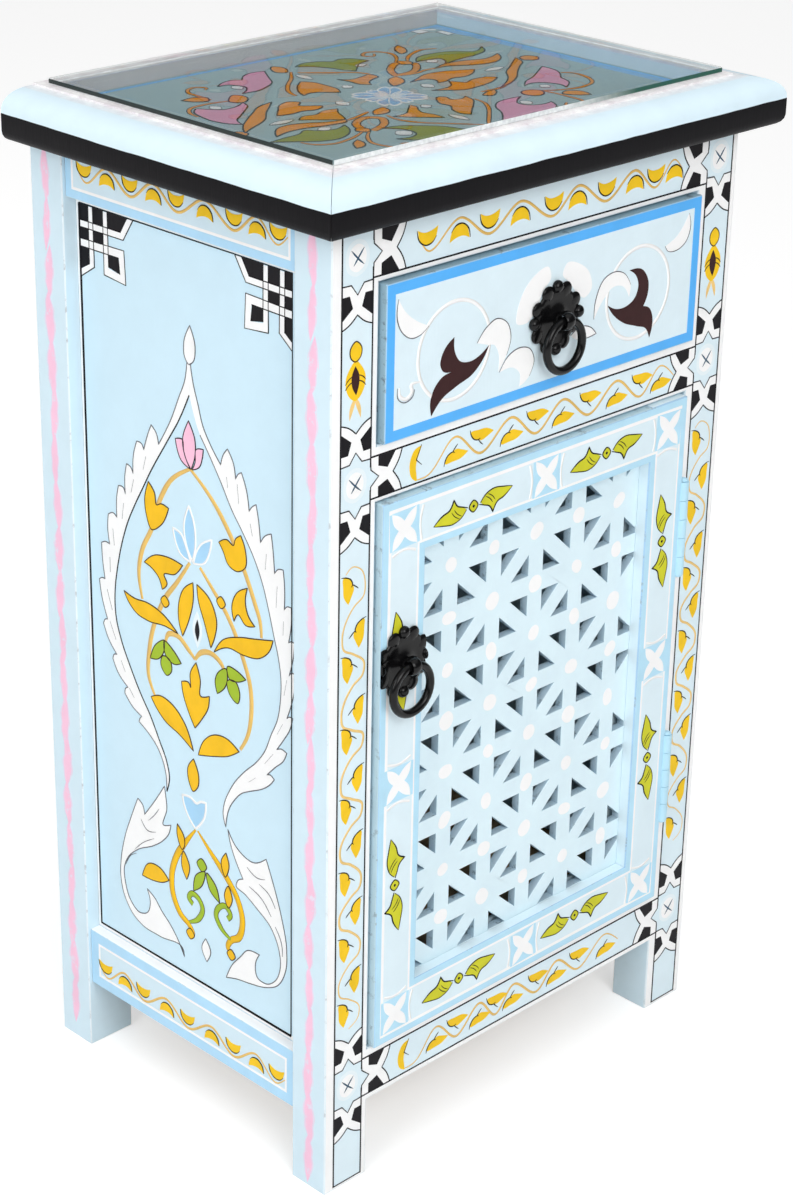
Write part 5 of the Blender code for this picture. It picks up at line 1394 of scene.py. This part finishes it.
for way in (
        [(18, 112), (5, 98), (-10, 85), (-20, 73), (-24, 62)],
        [(-72, 90), (-72, 103), (-71, 113), (-65, 120), (-57, 121), (-54, 115), (-58, 112)],
        [(-66, 80), (-85, 83), (-97, 81), (-105, 72), (-107, 62)],
        [(-53, -30), (-75, -39), (-88, -40), (-98, -34), (-101, -25)],
        [(-52, -34), (-62, -43), (-69, -55), (-66, -68), (-58, -74), (-52, -69), (-57, -66)],
        [(-15, -12), (-17, -25), (-12, -38), (0, -52), (15, -68)],
        [(92, 88), (100, 95), (107, 108), (103, 118), (96, 121), (88, 114), (92, 110), (98, 115)],
        [(98, 82), (108, 92), (120, 99), (132, 102), (142, 98)], [(66, 58), (80, 56), (90, 58), (104, 57)],
        [(58, -18), (56, -28), (48, -40), (35, -53), (22, -65), (12, -75)],
        [(108, -34), (109, -55), (107, -68), (98, -74), (91, -68), (96, -64)],
        [(108, -32), (120, -39), (135, -42), (150, -38), (159, -25), (160, -12), (155, -6)],
        [(75, -8), (90, -9), (100, -7)], [(20, 108), (35, 95), (52, 80), (54, 68)],
        [(-45, -5), (-30, -2), (-18, 2)]):
    tray.line(tray_black, way, 3.4, 2, ends=(0.6, 0.6))
    tray.line(tray_orange, way, 2.0, 3, ends=(0.6, 0.6))
for x, y, wide, tall in (
        (-38, 103, 4, 5), (-84, 72, 4, 5), (118, -25, 4, 4), (76, -47, 4, 5), (67, 96, 5, 3),
        (112, 73, 5, 4), (-68, -11, 5, 4), (-38, -50, 6, 6), (-15, 28, 4.4, 6), (-77, 18, 10, 3.4),
        (18, 58, 4, 4), (15, 96, 3.4, 8), (60, 26, 4.4, 5.6), (128, 30, 9, 3.4), (20, -12, 4, 4),
        (16, -45, 3.2, 9)):
    lined(tray, white, oval(x, y, wide, tall), line_grey, 0.7)
tray_flower = brushed_paint("tray_flower_paint", screen(140, 192, 240), 0.06)
petal = Painting()
PETAL = [(0, 2, 1), (6.4, 10), (7.4, 18), (2.6, 24), (0, 20, 1), (-2.6, 24), (-7.4, 18), (-6.4, 10)]
lined(petal, tray_flower, PETAL, white, 1.5)
petal.line(white, [(0, 4), (0.4, 12), (0, 19)], 1.0, ends=(1, 0.3))
FLOWER_X, FLOWER_Y = 21, 22
tray.stamp(petal, [(FLOWER_X, FLOWER_Y, first + 90 * k, wide, tall)
                   for first, wide, tall in ((45, 1, 1), (0, 0.6, 0.8)) for k in range(4)])
low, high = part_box("top_board")
TRAY_X, TRAY_Y = -0.0275, -0.01645
lay_on(
    "painting_tray", tray, face_sheet((TRAY_X, TRAY_Y, high.z), (1, 0, 0), (0, 1, 0), (0, 0, 1)), "carcass")
tray_line = Painting()
tray_line.border(drawer_blue, low.x / MM + 3, high.x / MM - 3, low.y / MM + 3, high.y / MM - 3, 3.0, 2)
tray_band = rubbed_paint("tray_band_paint", screen(118, 180, 236), screen(150, 188, 206))
tray_line.box(tray_band, 159, 168, low.y / MM + 4, high.y / MM - 4)
for outline in (
        [(139, 131.6), (148.6, 131.2), (148.4, 122), (138.4, 121.6)],
        [(151.6, 118.6), (157.8, 118.4), (157.8, 106), (150.8, 105.6)]):
    tray_line.fill(white, outline, 3, smooth=False)
    tray_line.line(line_grey, outline, 0.8, 5, closed=True, smooth=False)
tray_line.line(white, [(149, 131), (156.4, 123.6)], 2.6, 3, smooth=False)
lay_on(
    "painting_tray_line", tray_line, face_sheet((0, 0, high.z), (1, 0, 0), (0, 1, 0), (0, 0, 1)), "carcass")

# %% [markdown]
# ## Iron pulls
# Each pull is a cast rosette with beads and petals round its rim, a thick eye, and a forged ring that hangs
# in it. They are round work, so the dish, the eye and the ring are turned from profiles, as on a lathe.
# Beads and petals are flattened balls set into the rim. The door's rosette is cut straight at both sides,
# where it meets the fretwork's opening and the door's edge.


# %% Iron pulls
def cut(shape, point, way):
    """Cut off what lies beyond a plane."""
    bmesh.ops.bisect_plane(shape, geom=shape.verts[:] + shape.edges[:] + shape.faces[:], dist=1e-7,
                           plane_co=point, plane_no=way, clear_outer=True)


def turned(shape, profile, place, steps=48, ring=False):
    """Turn a profile of (radius, height) in mm round its axis; a ring's profile closes on itself."""
    rows = []
    for radius, height in profile:
        spots = circle(radius, steps if radius > 1e-6 else 1)
        rows.append([shape.verts.new(place @ Vector((x, y, height))) for x, y in spots])
    for upper, lower in zip(rows, rows[1:] + rows[:1] if ring else rows[1:]):
        for k in range(steps):
            j = k + 1
            corners = [
                upper[k % len(upper)], upper[j % len(upper)], lower[j % len(lower)], lower[k % len(lower)]]
            shape.faces.new(list(dict.fromkeys(corners)))


def ball(shape, place, spot, size):
    """A flattened ball in mm."""
    scale = Matrix.Diagonal((*size, 1))
    bmesh.ops.create_uvsphere(
        shape, u_segments=20, v_segments=12, radius=1.0, matrix=place @ Matrix.Translation(spot) @ scale)


def iron(name, shape, body, node):
    """Finish a piece of iron: faces outwards, smooth, in place of its CAD node."""
    bmesh.ops.recalc_face_normals(shape, faces=shape.faces)
    soften(shape, 0.9)
    return new_piece(name, shape, [black_iron], body, [node])


RING_RADIUS, WIRE = 16.5, 2.82
EYE_REACH = 9.4
for pull in ("drawer", "door"):
    low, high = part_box(pull + "_pull_eye")
    seat = Vector(((low.x + high.x) / 2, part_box(pull + "_pull_plate")[1].y, (low.z + high.z) / 2))
    sheet = face_sheet(seat, (1, 0, 0), (0, 0, 1), (0, -1, 0))
    rosette = bmesh.new()
    turned(rosette, [
        (0, 0), (19.6, 0), (20.2, 0.7), (19.6, 1.7), (17, 2.3), (13, 1.7), (9, 2.0), (6.4, 3.0), (4, 3.8),
        (0, 4)], sheet)
    for quarter in range(4):
        for offset, reach, size in (
                (0, 20.6, (4.2, 4.2, 3.4)), (26, 18.8, (5.4, 5.4, 1.7)), (64, 18.8, (5.4, 5.4, 1.7))):
            angle = math.radians(90 * quarter + offset)
            ball(rosette, sheet, (
                reach * math.cos(angle), reach * math.sin(angle), 0.9 if offset else 1.4), size)
    cut(rosette, seat, (0, 1, 0))
    if pull == "door":
        for wall, way in zip(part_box("door_pull_plate"), (-1, 1)):
            cut(rosette, wall, (way, 0, 0))
    bmesh.ops.holes_fill(rosette, edges=[edge for edge in rosette.edges if edge.is_boundary], sides=0)
    iron(pull + "_rosette", rosette, pull, pull + "_pull_plate")

    eye_shape = bmesh.new()
    across = face_sheet(seat + Vector((0, -EYE_REACH * MM + 0.0003, 0)), (0, 1, 0), (0, 0, 1), (1, 0, 0))
    turned(eye_shape, [
        (4.1, -3.3), (5.2, -3.6), (6.0, -2.4), (6.2, 0), (6.0, 2.4), (5.2, 3.6), (4.1, 3.3), (3.6, 1.6),
        (3.5, 0), (3.6, -1.6)], across, ring=True)
    turned(eye_shape, [(0, -10), (1.5, -10), (1.5, 1.0), (5.2, 1.2), (4.4, 3.0), (0, 3.4)], sheet, 32)
    iron(pull + "_ring_eye", eye_shape, pull, pull + "_pull_eye")

    low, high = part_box(pull + "_pull_ring")
    middle = (low + high) / 2
    hoop = bmesh.new()
    wire = [(RING_RADIUS + x, y) for x, y in circle(WIRE, 20)]
    turned(hoop, wire, face_sheet(middle, (1, 0, 0), (0, 0, 1), (0, -1, 0)), 72, ring=True)
    iron(pull + "_hoop", hoop, pull + "_ring", pull + "_pull_ring")
print("pulls are made of a rosette, an eye and a hoop each")
